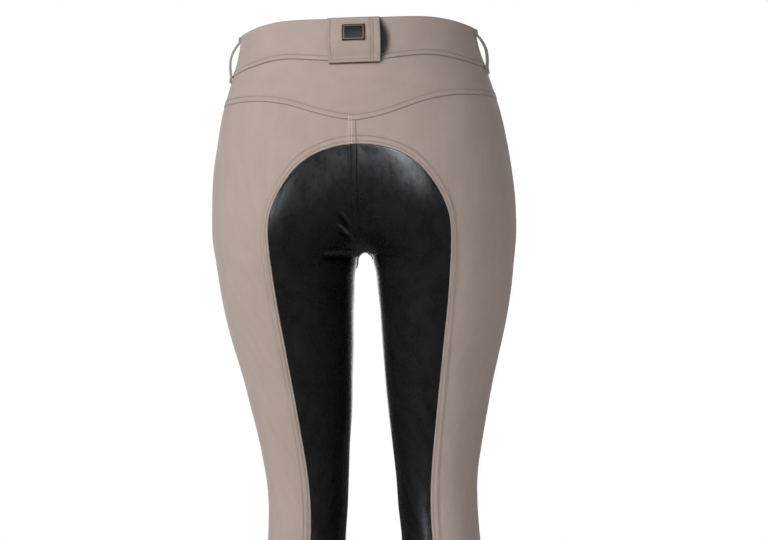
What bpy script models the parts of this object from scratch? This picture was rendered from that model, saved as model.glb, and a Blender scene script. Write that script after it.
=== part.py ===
"""Full-seat riding breeches, filled out as if worn, on a general figure.

The wearer faces +Y, so the seat looks towards -Y, +X is the wearer's right and +Z is up. The origin is
the centre of the waist, level with the middle of the waistband at the centre back.

Each half of the garment is one surface with two coordinates: z, the height, and turn, the angle round a
pole that runs down inside the leg: 0 at the side seam, positive towards the front, negative towards the
back, 180 at the inner leg. Every cut piece is a patch of that surface between its own seams.
Sizes are in millimetres until a mesh is made from them.
"""

import math

import bmesh
import bpy
import numpy as np
from mathutils import Vector

MM = 0.001

# Driving dimensions.
HEM_Z = -948.0
CUFF_HEIGHT = 165.0
CROTCH_BLEND = 30.0  # how widely the two legs melt together at the crotch
SEAM_GAP = 0.36  # between two pieces at a seam
LAID_GAP = 0.35  # between a piece and what it lies on
PANEL_THICKNESS = 1.5
SEAT_THICKNESS = 1.7
BAND_THICKNESS = 2.8
BAND_PROUD = 1.2  # the band stands this much outside the panels
CUFF_THICKNESS = 2.2
LOOP_THICKNESS = 2.0

# How many strips each piece is cut into.
TORSO_COLUMNS = 12  # centre back to side seam, above the shoulder of the seat patch
FRONT_COLUMNS = 12
BACK_COLUMNS = 6
YOKE_ROWS = 3
RISE_ROWS = 12  # from the yoke's corner to the crotch
LEG_ROWS = 24  # from the crotch to the cuff
BAND_ROWS = 3
CUFF_ROWS = 6

# One row for each level of the figure: the hips as an ellipse, and one leg as an ellipse round its pole.
SECTION_COLUMNS = (
    "z", "hip_w", "hip_front", "hip_back", "pole_x", "leg_w", "pole_y", "leg_front", "leg_back",
)
SECTIONS = (
    (40, 139.5, 93, 94, 60, 80, 0, 93, 94),
    (4, 143.6, 97, 98, 60, 84, 0, 97, 98),
    (-18, 148.8, 99, 100.5, 60, 89, 0, 99, 100.5),
    (-40, 156.8, 101, 103, 58, 99, 0, 101, 103),
    (-60, 163.3, 102.5, 107, 56, 108, 0, 102.5, 107),
    (-84, 170, 104, 112, 52, 118, 0, 104, 112),
    (-120, 177, 106, 120, 50, 127, 0, 105, 118),
    (-156, 182, 107, 125, 51, 131, 0, 105, 123),
    (-193, 185, 106, 127, 60, 125, 0, 104, 125),
    (-210, 185.3, 105, 126, 68, 117.3, 0, 103, 123),
    (-229, 185, 103, 123, 79, 106, 0, 101, 119),
    (-240, 184, 101, 120, 88, 96, 0, 100, 115),
    (-251, 182.7, 100, 116, 95, 87.7, 0, 99, 111),
    (-266, 181.2, 98, 110, 96.2, 84.8, 0, 98, 106),
    (-302, 176.3, 95, 100, 95.5, 80.8, 2, 94, 98),
    (-339, 169, 90, 90, 92.8, 76.3, 3, 89, 90),
    (-376, 160, 85, 85, 89.1, 70.8, 4, 84, 83),
    (-412, 151, 80, 80, 85.4, 65.3, 5, 78, 76),
    (-449, 143, 75, 75, 82.7, 60.1, 5, 72, 70),
    (-485, 135, 70, 70, 80.8, 54.6, 5, 66, 63),
    (-522, 129, 65, 65, 78.9, 50.2, 4, 61, 58),
    (-559, 127, 60, 60, 79.2, 48.3, 1, 58, 56),
    (-595, 128, 60, 60, 81.5, 47.5, -3, 56, 57),
    (-650, 130, 60, 60, 83.6, 48.8, -9, 54, 61),
    (-700, 130, 60, 60, 85.2, 50.2, -13, 52, 63),
    (-750, 130, 60, 60, 86.2, 48.8, -14, 51, 61),
    (-800, 130, 60, 60, 86.8, 44.5, -12, 48, 55),
    (-850, 130, 60, 60, 87, 39.8, -9, 44, 48),
    (-900, 130, 60, 60, 87, 36.4, -7, 41, 43),
    (-960, 130, 60, 60, 87, 35.6, -6, 41, 41),
)
HIP_POWER = 2.12  # 2 is a true ellipse, and more is squarer
LEG_POWER = 2.04
HIPS_END_Z, LEGS_START_Z = -60.0, -215.0  # between these the hips' ellipse gives way to the two legs

# Seams that go round the body. share runs from -1 at the centre back, by 0 at the side seam, to 1 at the
# centre front.
ROUND_SEAM_COLUMNS = ("share", "z")
BAND_TOP = (
    (-1, 25.5), (-0.86, 26.2), (-0.7, 26.8), (-0.56, 26.4), (-0.4, 23.4), (-0.23, 18.8), (0, 15.5),
    (0.5, 7.5), (1, 1.5),
)
BAND_SEAM = (
    (-1, -25), (-0.86, -23.3), (-0.76, -21), (-0.66, -19.2), (-0.55, -19.4), (-0.43, -22.4),
    (-0.3, -26.8), (-0.15, -31.2), (0, -33.8), (0.5, -41), (1, -47),
)
YOKE_SEAM = (
    (-1, -95.8), (-0.92, -92.6), (-0.83, -87.2), (-0.73, -80), (-0.62, -73), (-0.52, -69.2),
    (-0.4, -67), (-0.28, -67), (0, -69.5),
)
# The outer edge of the seat patch seen from behind, from its top at the centre back to the cuff. The first
# row lies across the centre back, so that the arch is round there.
SEAT_EDGE_COLUMNS = ("x", "z")
SEAT_EDGE = (
    (-34, -128.6), (0, -123.8), (34, -128.6), (57.4, -138.3), (71.6, -148.8), (86.9, -167.3), (100, -190.5),
    (106.1, -209.5), (107.6, -228), (106.9, -248.4), (104, -283.8), (100, -319.4), (95, -355),
    (90.2, -390.8), (85.2, -426.8), (80.5, -462.8), (76, -499), (72.6, -535), (71.9, -571),
    (73.2, -600), (76, -650), (78, -700), (79.5, -800), (80, -880), (80, -960),
)
ARCH_TOP_Z, SHOULDER_Z = -123.8, -167.3  # where SEAT_EDGE starts, and where its arch turns down the leg
# The seat patch's front edge, which is the inseam of the front panel.
INSEAM_COLUMNS = ("z", "turn")
INSEAM = (
    (-251, 180), (-262, 176), (-280, 169), (-310, 160), (-350, 152), (-420, 146), (-520, 143),
    (-620, 142), (-720, 142), (-850, 143), (-960, 144),
)

# Belt loops: strips sewn down at both ends and bowed out between them, by their place on the waist.
LOOP_COLUMNS = ("turn", "width", "top", "bottom", "bow")
SIDE_LOOP = (-8.0, 11.0, 15.5, -40.0, 6.8)
FRONT_LOOP = (94.0, 11.0, 3.0, -51.0, 6.8)
BACK_LOOP_WIDTH = 61.0
BACK_LOOP_TOP, BACK_LOOP_BOTTOM = 26.5, -27.0
BACK_LOOP_BOW = 7.2
LOOP_SEWN = 0.12  # the share of a loop's length that lies flat at each end
LOOP_STEP = 5.0  # below the band a loop steps in to the panel over this height
LOOP_ROWS = 11

# The label covers some of the back loop's own rows and columns.
BACK_LOOP_COLUMNS = 7
LABEL_ROWS = (2, 6)
LABEL_COLUMNS = (2, 5)
LABEL_THICKNESS = 1.2

# The closure at the centre front, right over left.
FLY_WIDTH, FLY_LENGTH, FLY_OVERLAP = 34.0, 122.0, 4.0
FLY_STRAIGHT = 0.68  # the share of its length above the round end
FLY_ROUND = 0.97  # how much of a quarter ellipse the round end takes
FLY_THICKNESS = 1.2
FLY_ROWS, FLY_COLUMNS = 14, 4
TAB_REACH, TAB_SEWN, TAB_MARGIN = 36.0, 8.0, 1.2
TAB_ROUND, TAB_BEND = 15.0, 0.8  # how long the round end is, and how much of a quarter ellipse it takes
TAB_THICKNESS = 2.0
TAB_ROWS, TAB_COLUMNS = 4, 12
BUTTON_DIAMETER, BUTTON_THICKNESS = 17.0, 3.4
BUTTON_X = -20.0

FINISH_NAMES = ("Base Color", "Roughness", "Metallic")
CLOTH = ((0.40, 0.325, 0.285, 1), 0.85, 0)
LEATHER = ((0.012, 0.012, 0.013, 1), 0.4, 0)
RUBBER = ((0.012, 0.012, 0.013, 1), 0.6, 0)
METAL = ((0.10, 0.095, 0.09, 1), 0.4, 1)

COLLECTION = "riding_breeches"
CURVE_STEPS = 240  # how finely a seam is measured before its points are spaced out
HALVINGS = 36  # how often the search for the surface halves its range
FARTHEST = 400.0  # the surface lies nearer than this to every pole
NORMAL_STEP = 0.5
SHARP_ANGLE = math.radians(40)


# The figure and its surface.

def column(table, names, name):
    return np.array([row[names.index(name)] for row in table], float)


def through(knots, values, at):
    """A smooth curve through the values, read at these places. The knots may run down or up."""
    order = np.argsort(knots)
    knots, values = knots[order], values[order]
    slopes = np.gradient(values, knots)
    at = np.clip(np.asarray(at, float), knots[0], knots[-1])
    i = np.clip(np.searchsorted(knots, at) - 1, 0, len(knots) - 2)
    width = knots[i + 1] - knots[i]
    t = (at - knots[i]) / width
    return (
        values[i] * (2 * t**3 - 3 * t**2 + 1)
        + values[i + 1] * (3 * t**2 - 2 * t**3)
        + slopes[i] * width * (t**3 - 2 * t**2 + t)
        + slopes[i + 1] * width * (t**3 - t**2)
    )


def section(name, z):
    return through(column(SECTIONS, SECTION_COLUMNS, "z"), column(SECTIONS, SECTION_COLUMNS, name), z)


def oval(x, y, width, depth, power):
    """Roughly how far a point lies outside an oval round the origin."""
    size = (np.abs(x / width) ** power + np.abs(y / depth) ** power) ** (1 / power)
    return (size - 1) * width


def outside(x, y, z):
    """Roughly how far a point lies outside the figure, in millimetres. It is 0 on the surface."""
    hip_depth = np.where(y > 0, section("hip_front", z), section("hip_back", z))
    hips = oval(x, y, section("hip_w", z), hip_depth, HIP_POWER)

    pole_x, pole_y, leg_w = (section(name, z) for name in ("pole_x", "pole_y", "leg_w"))
    leg_depth = np.where(y > pole_y, section("leg_front", z), section("leg_back", z))
    near = oval(np.abs(x) - pole_x, y - pole_y, leg_w, leg_depth, LEG_POWER)
    far = oval(-np.abs(x) - pole_x, y - pole_y, leg_w, leg_depth, LEG_POWER)
    overlap = np.maximum(CROTCH_BLEND - np.abs(near - far), 0)
    legs = np.minimum(near, far) - overlap**2 / (4 * CROTCH_BLEND)

    share = np.clip((z - HIPS_END_Z) / (LEGS_START_Z - HIPS_END_Z), 0, 1)
    share = share * share * (3 - 2 * share)
    return hips * (1 - share) + legs * share


def crossing(function, low, high):
    """Where a rising function crosses 0 between low and high, by halving."""
    low, high = np.array(low, float), np.array(high, float)
    for _ in range(HALVINGS):
        middle = (low + high) / 2
        inside = function(middle) < 0
        low, high = np.where(inside, middle, low), np.where(inside, high, middle)
    return (low + high) / 2


CROTCH_Z = -float(crossing(lambda depth: outside(0.0, 0.0, -depth), 0.0, FARTHEST))


def normal_at(point):
    """The surface's outward normal at each point, from how outside() changes round it."""
    slopes = []
    for axis in np.eye(3):
        ahead, behind = point + NORMAL_STEP * axis, point - NORMAL_STEP * axis
        slopes.append(
            outside(ahead[..., 0], ahead[..., 1], ahead[..., 2])
            - outside(behind[..., 0], behind[..., 1], behind[..., 2])
        )
    normal = np.stack(slopes, axis=-1)
    return normal / np.linalg.norm(normal, axis=-1, keepdims=True)


def leg_surface(turn, z):
    """The point of the garment's right half at this turn and height."""
    turn, z = np.broadcast_arrays(np.asarray(turn, float), np.asarray(z, float))
    pole_x, pole_y = section("pole_x", z), section("pole_y", z)
    along_x, along_y = np.cos(np.radians(turn)), np.sin(np.radians(turn))
    to_middle = np.where(along_x < 0, pole_x / np.maximum(-along_x, 1e-6), FARTHEST)
    radius = crossing(
        lambda r: outside(pole_x + r * along_x, pole_y + r * along_y, z),
        np.zeros_like(z),
        np.minimum(to_middle, FARTHEST),
    )
    return np.stack([pole_x + radius * along_x, pole_y + radius * along_y, z], axis=-1)


def body_surface(x, z, side):
    """The point of the whole garment at this x and height: side is 1 for the front and -1 for the back."""
    x, z = np.broadcast_arrays(np.asarray(x, float), np.asarray(z, float))
    reach = crossing(lambda r: outside(x, side * r, z), np.zeros_like(z), np.full_like(z, FARTHEST))
    return np.stack([x, side * reach, z], axis=-1)


def middle_turn(z, side):
    """The turn at which the surface meets the mid-plane above the crotch."""
    point = body_surface(np.zeros_like(np.asarray(z, float)), z, side)
    return np.degrees(np.arctan2(point[..., 1] - section("pole_y", z), -section("pole_x", z)))


# Seams, as arrays of places (turn, z).

def evenly(curve, count):
    """count + 1 places along a curve, evenly spaced on the garment."""
    points = leg_surface(curve[:, 0], curve[:, 1])
    along = np.concatenate([[0], np.cumsum(np.linalg.norm(np.diff(points, axis=0), axis=1))])
    at = np.linspace(0, along[-1], count + 1)
    return np.stack([np.interp(at, along, curve[:, k]) for k in range(2)], axis=1)


def round_seam(table, first_share, last_share, count):
    """A seam round the body, from one share of the way round to another."""
    shares = np.linspace(first_share, last_share, CURVE_STEPS + 1)
    z = through(*(column(table, ROUND_SEAM_COLUMNS, name) for name in ROUND_SEAM_COLUMNS), shares)
    turn = np.where(shares < 0, -shares * middle_turn(z, -1), shares * middle_turn(z, 1))
    return evenly(np.stack([turn, z], axis=1), count)


def middle_seam(side, top_z, count):
    """The centre-front or centre-back seam from top_z down to the crotch."""
    z = CROTCH_Z + (top_z - CROTCH_Z) * np.linspace(1, 0, CURVE_STEPS + 1) ** 2
    turn = middle_turn(z, side)
    turn[-1] = side * 180
    return evenly(np.stack([turn, z], axis=1), count)


def middle_edge(side, top_z, bottom_z, count):
    """A short stretch of the centre-front or centre-back seam."""
    z = np.linspace(top_z, bottom_z, count + 1)
    return np.stack([middle_turn(z, side), z], axis=1)


def side_seam(top_z, bottom_z, count):
    z = np.linspace(top_z, bottom_z, count + 1)
    return np.stack([np.zeros_like(z), z], axis=1)


def inseam(bottom_z, count):
    """From the crotch down the inner leg, with closer rows under the crotch, where it turns fastest."""
    z = CROTCH_Z + (bottom_z - CROTCH_Z) * np.linspace(0, 1, CURVE_STEPS + 1) ** 1.5
    turn = through(*(column(INSEAM, INSEAM_COLUMNS, name) for name in INSEAM_COLUMNS), z)
    turn[0] = 180
    return evenly(np.stack([turn, z], axis=1), count)


def seat_edge(first_z, last_z, count):
    """A stretch of the seat patch's outer edge."""
    x, z = (column(SEAT_EDGE, SEAT_EDGE_COLUMNS, name) for name in SEAT_EDGE_COLUMNS)
    along = np.concatenate([[0], np.cumsum(np.hypot(np.diff(x), np.diff(z)))])
    first, last = np.interp([-first_z, -last_z], -z[1:], along[1:])
    at = np.linspace(first, last, CURVE_STEPS + 1)
    x, z = through(along, x, at), through(along, z, at)
    point = body_surface(x, z, -1)
    turn = np.degrees(np.arctan2(point[:, 1] - section("pole_y", z), x - section("pole_x", z)))
    return evenly(np.stack([turn, z], axis=1), count)


# Grids and walls.

def joined(*stretches):
    """Stretches of one edge, each starting where the last one ends."""
    return np.concatenate([stretches[0]] + [stretch[1:] for stretch in stretches[1:]])


def between(top, bottom, left, right):
    """The places of a grid inside four edges. Rows run from top to bottom, columns from left to right."""
    down = np.linspace(0, 1, len(left))[:, None, None]
    across = np.linspace(0, 1, len(top))[None, :, None]
    corners = (
        (1 - down) * ((1 - across) * top[0] + across * top[-1])
        + down * ((1 - across) * bottom[0] + across * bottom[-1])
    )
    sides = (1 - across) * left[:, None] + across * right[:, None]
    return (1 - down) * top + down * bottom + sides - corners


def mirrored(grid):
    return (grid * (-1, 1, 1))[:, ::-1]


def both_halves(right):
    """A grid that crosses the mid-plane, from its right half, whose first column lies on that plane."""
    right = right.copy()
    right[:, 0, 0] = 0
    return np.concatenate([mirrored(right), right[:, 1:]], axis=1)


def drawn_in(grid, edges):
    """The grid with the named edges drawn in by half a seam's gap."""
    grid = grid.copy()
    for edge in edges:
        rim, inner = {
            "top": (grid[0], grid[1]),
            "bottom": (grid[-1], grid[-2]),
            "left": (grid[:, 0], grid[:, 1]),
            "right": (grid[:, -1], grid[:, -2]),
        }[edge]
        way = inner - rim
        rim += way / np.linalg.norm(way, axis=-1, keepdims=True) * SEAM_GAP / 2
    return grid


def raised(grid, height):
    return grid + normal_at(grid) * height


def own_normals(grid):
    """The outward normals of a grid that doesn't follow the figure, such as a bowed strip."""
    normal = np.cross(np.gradient(grid, axis=0), np.gradient(grid, axis=1))
    normal /= np.linalg.norm(normal, axis=-1, keepdims=True)
    return normal * np.sign((normal * normal_at(grid)).sum(axis=-1, keepdims=True))


def wall(name, outer, normals, thickness, ring=False):
    """A closed wall: the outer grid, the same grid moved in along the normals, and the rim."""
    rows, columns = outer.shape[:2]
    mesh = bmesh.new()
    skins = [
        [[mesh.verts.new(point * MM) for point in row] for row in grid]
        for grid in (outer, outer - thickness * normals)
    ]
    spans = [(j, (j + 1) % columns) for j in range(columns if ring else columns - 1)]
    for skin in skins:
        for i in range(rows - 1):
            for j, k in spans:
                mesh.faces.new((skin[i][j], skin[i][k], skin[i + 1][k], skin[i + 1][j]))
    out, inn = skins
    for i in (0, rows - 1):
        for j, k in spans:
            mesh.faces.new((out[i][j], inn[i][j], inn[i][k], out[i][k]))
    for j in () if ring else (0, columns - 1):
        for i in range(rows - 1):
            mesh.faces.new((out[i][j], out[i + 1][j], inn[i + 1][j], inn[i][j]))
    bmesh.ops.recalc_face_normals(mesh, faces=mesh.faces)
    return add_object(name, mesh)


# Blender objects.

def add_object(name, mesh):
    data = bpy.data.meshes.new(name)
    mesh.to_mesh(data)
    mesh.free()
    obj = bpy.data.objects.new(name, data)
    bpy.data.collections[COLLECTION].objects.link(obj)
    data.shade_smooth()
    data.set_sharp_from_angle(angle=SHARP_ANGLE)
    return obj


def finish(obj, values):
    material = bpy.data.materials.new(obj.name)
    material.use_nodes = True
    shader = material.node_tree.nodes["Principled BSDF"]
    for name, value in zip(FINISH_NAMES, values):
        shader.inputs[name].default_value = value
    obj.data.materials.append(material)


def add_pair(name, outer, normals, thickness, values, ring=False):
    """The right and the left copy of a piece."""
    finish(wall(name + "_right", outer, normals, thickness, ring), values)
    finish(wall(name + "_left", mirrored(outer), mirrored(normals), thickness, ring), values)


def add_panels(name, places, thickness, values):
    """The right and the left copy of a panel, from its grid of places (turn, z) on the right half."""
    outer = drawn_in(leg_surface(places[..., 0], places[..., 1]), ("top", "bottom", "left", "right"))
    add_pair(name, outer, normal_at(outer), thickness, values)


# The pieces.

CUFF_Z = HEM_Z + CUFF_HEIGHT
YOKE_CORNER_Z = YOKE_SEAM[-1][1]
BAND_BACK_Z, BAND_SIDE_Z, BAND_FRONT_Z = (dict(BAND_SEAM)[share] for share in (-1, 0, 1))
BAND_FRONT_TOP_Z = BAND_TOP[-1][1]


def add_waistband():
    """One band round the whole waist, open at the centre front."""
    top, seam = (
        joined(round_seam(table, -1, 0, TORSO_COLUMNS), round_seam(table, 0, 1, FRONT_COLUMNS))
        for table in (BAND_TOP, BAND_SEAM)
    )
    places = between(
        top=top,
        bottom=seam,
        left=middle_edge(-1, top[0, 1], seam[0, 1], BAND_ROWS),
        right=middle_edge(1, top[-1, 1], seam[-1, 1], BAND_ROWS),
    )
    right = leg_surface(places[..., 0], places[..., 1])
    right[:, -1, 0] = 0
    outer = drawn_in(raised(both_halves(right), BAND_PROUD), ("bottom", "left", "right"))
    finish(wall("waistband", outer, normal_at(outer), BAND_THICKNESS), CLOTH)


def add_yoke():
    """The back yoke, one piece from side seam to side seam."""
    places = between(
        top=round_seam(BAND_SEAM, -1, 0, TORSO_COLUMNS),
        bottom=round_seam(YOKE_SEAM, -1, 0, TORSO_COLUMNS),
        left=middle_edge(-1, BAND_BACK_Z, YOKE_SEAM[0][1], YOKE_ROWS),
        right=side_seam(BAND_SIDE_Z, YOKE_CORNER_Z, YOKE_ROWS),
    )
    outer = both_halves(leg_surface(places[..., 0], places[..., 1]))
    outer = drawn_in(outer, ("top", "bottom", "left", "right"))
    finish(wall("back_yoke", outer, normal_at(outer), PANEL_THICKNESS), CLOTH)


def add_back():
    """The back leg panels: an L-shaped strip between the seat patch and the yoke and side seams."""
    inner = joined(
        seat_edge(ARCH_TOP_Z, SHOULDER_Z, TORSO_COLUMNS),
        seat_edge(SHOULDER_Z, CROTCH_Z, RISE_ROWS),
        seat_edge(CROTCH_Z, CUFF_Z, LEG_ROWS),
    )
    outer = joined(
        round_seam(YOKE_SEAM, -1, 0, TORSO_COLUMNS),
        side_seam(YOKE_CORNER_Z, CROTCH_Z, RISE_ROWS),
        side_seam(CROTCH_Z, CUFF_Z, LEG_ROWS),
    )
    places = between(
        top=middle_edge(-1, ARCH_TOP_Z, YOKE_SEAM[0][1], BACK_COLUMNS),
        bottom=np.linspace(inner[-1], outer[-1], BACK_COLUMNS + 1),
        left=inner,
        right=outer,
    )
    add_panels("back", places, PANEL_THICKNESS, CLOTH)


def add_seat():
    """The seat patches: joined at the centre back, and wrapped under the crotch round the inner leg."""
    under = inseam(CUFF_Z, LEG_ROWS)
    under[:, 0] -= 360
    outer = joined(seat_edge(SHOULDER_Z, CROTCH_Z, RISE_ROWS), seat_edge(CROTCH_Z, CUFF_Z, LEG_ROWS))
    places = between(
        top=seat_edge(ARCH_TOP_Z, SHOULDER_Z, TORSO_COLUMNS),
        bottom=np.linspace(under[-1], outer[-1], TORSO_COLUMNS + 1),
        left=joined(middle_seam(-1, ARCH_TOP_Z, RISE_ROWS), under),
        right=outer,
    )
    add_panels("seat", places, SEAT_THICKNESS, LEATHER)


def add_front():
    """The front leg panels, from the waistband to the cuffs."""
    under = inseam(CUFF_Z, LEG_ROWS)
    places = between(
        top=round_seam(BAND_SEAM, 0, 1, FRONT_COLUMNS),
        bottom=np.linspace([0, CUFF_Z], under[-1], FRONT_COLUMNS + 1),
        left=joined(
            side_seam(BAND_SIDE_Z, YOKE_CORNER_Z, YOKE_ROWS),
            side_seam(YOKE_CORNER_Z, CROTCH_Z, RISE_ROWS),
            side_seam(CROTCH_Z, CUFF_Z, LEG_ROWS),
        ),
        right=joined(middle_seam(1, BAND_FRONT_Z, YOKE_ROWS + RISE_ROWS), under),
    )
    add_panels("front", places, PANEL_THICKNESS, CLOTH)


def add_cuffs():
    """Plain hem bands, whose columns meet those of the three panels above."""
    front_turn = inseam(CUFF_Z, LEG_ROWS)[-1, 0]
    back_turn = seat_edge(CROTCH_Z, CUFF_Z, LEG_ROWS)[-1, 0]
    turns = joined(
        np.linspace(front_turn - 360, back_turn, TORSO_COLUMNS + 1),
        np.linspace(back_turn, 0, BACK_COLUMNS + 1),
        np.linspace(0, front_turn, FRONT_COLUMNS + 1),
    )[:-1]
    heights = np.linspace(CUFF_Z, HEM_Z, CUFF_ROWS + 1)[:, None]
    outer = drawn_in(leg_surface(turns, heights), ("top",))
    add_pair("cuff", outer, normal_at(outer), CUFF_THICKNESS, CLOTH, ring=True)


def loop_rise(share, bow):
    """How far a loop's outer face stands off the figure, at a share of its length."""
    free = np.clip((share - LOOP_SEWN) / (1 - 2 * LOOP_SEWN), 0, 1)
    return BAND_PROUD + LAID_GAP + LOOP_THICKNESS + bow * np.sin(math.pi * free) ** 0.9


def add_narrow_loops(name, sizes):
    """A narrow belt loop on each side. Its lower end passes the band and steps in to the panel."""
    turn, width, top, bottom, bow = (sizes[LOOP_COLUMNS.index(key)] for key in LOOP_COLUMNS)
    share = np.linspace(0, 1, LOOP_ROWS + 1)
    z = top + (bottom - top) * share
    middle = leg_surface(turn, z)
    way = normal_at(middle)
    along_waist = np.stack([-way[:, 1], way[:, 0], np.zeros_like(z)], axis=1)
    along_waist /= np.linalg.norm(along_waist, axis=1, keepdims=True)
    step_in = BAND_PROUD * np.clip(1 - (z - bottom) / LOOP_STEP, 0, 1)
    middle = middle + way * (loop_rise(share, bow) - step_in)[:, None]
    outer = np.stack([middle + along_waist * width * side for side in (-0.5, 0, 0.5)], axis=1)
    add_pair(name, outer, own_normals(outer), LOOP_THICKNESS, CLOTH)


def add_back_loop_and_label():
    """The wide loop at the centre back, and the label made from its points."""
    share = np.linspace(0, 1, LOOP_ROWS + 1)[:, None]
    x = np.linspace(-0.5, 0.5, BACK_LOOP_COLUMNS + 1) * BACK_LOOP_WIDTH
    ground = body_surface(x, BACK_LOOP_TOP + (BACK_LOOP_BOTTOM - BACK_LOOP_TOP) * share, -1)
    outer = ground + normal_at(ground) * loop_rise(share, BACK_LOOP_BOW)[..., None]
    normals = own_normals(outer)
    finish(wall("back_loop", outer, normals, LOOP_THICKNESS), CLOTH)

    rows, columns = (slice(first, last + 1) for first, last in (LABEL_ROWS, LABEL_COLUMNS))
    face = (outer + normals * (LAID_GAP + LABEL_THICKNESS))[rows, columns]
    finish(wall("label_patch", face, normals[rows, columns], LABEL_THICKNESS), RUBBER)


def add_fly():
    """The placket over the centre-front opening: straight, then rounded in to the seam like a J."""
    seam = round_seam(BAND_SEAM, 0, 1, CURVE_STEPS)
    seam_x = leg_surface(seam[:, 0], seam[:, 1])[::-1, 0]
    down = np.linspace(0, 1, FLY_ROWS + 1)[:, None]
    bend = np.clip((down - FLY_STRAIGHT) / (1 - FLY_STRAIGHT), 0, 1) * FLY_ROUND
    x = -FLY_OVERLAP + np.linspace(0, 1, FLY_COLUMNS + 1) * FLY_WIDTH * np.sqrt(1 - bend**2)
    top = np.interp(np.abs(x), seam_x, seam[::-1, 1]) - SEAM_GAP
    ground = body_surface(x, top + down * (BAND_FRONT_Z - FLY_LENGTH - top), 1)
    outer = raised(ground, LAID_GAP + FLY_THICKNESS)
    finish(wall("fly", outer, normal_at(outer), FLY_THICKNESS), CLOTH)


def add_tab_and_button():
    """The end of the band that laps over the centre front, and its button."""
    x = np.linspace(TAB_SEWN, -TAB_REACH, TAB_COLUMNS + 1)
    bend = np.clip((TAB_ROUND - TAB_REACH - x) / TAB_ROUND, 0, 1) * TAB_BEND
    middle_z = (BAND_FRONT_TOP_Z + BAND_FRONT_Z) / 2
    half_height = (BAND_FRONT_TOP_Z - middle_z - TAB_MARGIN) * np.sqrt(1 - bend**2)
    z = middle_z + np.linspace(1, -1, TAB_ROWS + 1)[:, None] * half_height
    lift = BAND_PROUD + LAID_GAP + TAB_THICKNESS
    outer = raised(body_surface(x, z, 1), lift)
    finish(wall("waist_tab", outer, normal_at(outer), TAB_THICKNESS), CLOTH)

    ground = body_surface(BUTTON_X, middle_z, 1)
    way = normal_at(ground)
    mesh = bmesh.new()
    bmesh.ops.create_cone(
        mesh, cap_ends=True, segments=24, depth=BUTTON_THICKNESS * MM,
        radius1=BUTTON_DIAMETER / 2 * MM, radius2=BUTTON_DIAMETER / 2 * MM,
    )
    button = add_object("waist_button", mesh)
    button.location = (ground + way * (lift + LAID_GAP + BUTTON_THICKNESS / 2)) * MM
    button.rotation_euler = Vector(way).to_track_quat("Z", "X").to_euler()
    bevel = button.modifiers.new("rim", "BEVEL")
    bevel.width = 0.8 * MM
    bevel.segments = 2
    finish(button, METAL)


def main():
    for obj in list(bpy.data.objects):
        bpy.data.objects.remove(obj)
    collection = bpy.data.collections.new(COLLECTION)
    bpy.context.scene.collection.children.link(collection)
    add_waistband()
    add_yoke()
    add_back()
    add_seat()
    add_front()
    add_cuffs()
    add_narrow_loops("side_loop", SIDE_LOOP)
    add_narrow_loops("front_loop", FRONT_LOOP)
    add_back_loop_and_label()
    add_fly()
    add_tab_and_button()


main()
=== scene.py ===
"""The looks of the riding breeches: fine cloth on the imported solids' own surface, with its seams, sewing
and creases, and the finish, light and camera.

The garment's surface is the one that the solids have, from the same tables and the same two coordinates:
z, the height, and turn, the angle round a pole inside the leg. Sizes are in millimetres until a mesh is
made from them.
"""

import math

import bpy
import numpy as np
from mathutils import Matrix, Vector

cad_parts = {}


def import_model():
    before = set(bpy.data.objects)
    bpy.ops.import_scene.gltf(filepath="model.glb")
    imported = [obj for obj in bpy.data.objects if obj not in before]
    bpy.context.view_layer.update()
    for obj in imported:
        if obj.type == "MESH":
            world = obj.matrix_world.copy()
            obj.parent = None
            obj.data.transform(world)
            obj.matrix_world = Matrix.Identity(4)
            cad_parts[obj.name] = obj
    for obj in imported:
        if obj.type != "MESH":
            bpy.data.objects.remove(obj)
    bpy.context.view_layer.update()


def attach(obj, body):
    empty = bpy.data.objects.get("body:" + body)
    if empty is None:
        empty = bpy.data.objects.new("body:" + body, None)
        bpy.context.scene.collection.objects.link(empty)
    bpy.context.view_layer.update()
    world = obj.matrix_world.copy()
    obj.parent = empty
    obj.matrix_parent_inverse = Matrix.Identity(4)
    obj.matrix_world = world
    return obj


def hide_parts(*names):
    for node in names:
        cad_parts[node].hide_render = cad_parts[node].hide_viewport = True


MM = 0.001
TINY = 1e-9
MIRROR = (-1, 1, 1)  # from a point of the right half to the left half's

# Driving dimensions, as the solids have them.
HEM_Z = -948.0
CUFF_HEIGHT = 165.0
CROTCH_BLEND = 30.0  # how widely the two legs melt together at the crotch
SEAM_GAP = 0.04  # between two pieces at a seam, here closed up so that no light comes through
LAID_GAP = 0.35  # between a piece and what it lies on
PANEL_THICKNESS = 1.5
SEAT_THICKNESS = 1.7
BAND_THICKNESS = 2.8
BAND_PROUD = 1.2  # the band stands this much outside the panels
CUFF_THICKNESS = 2.2
LOOP_THICKNESS = 2.0

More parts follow.
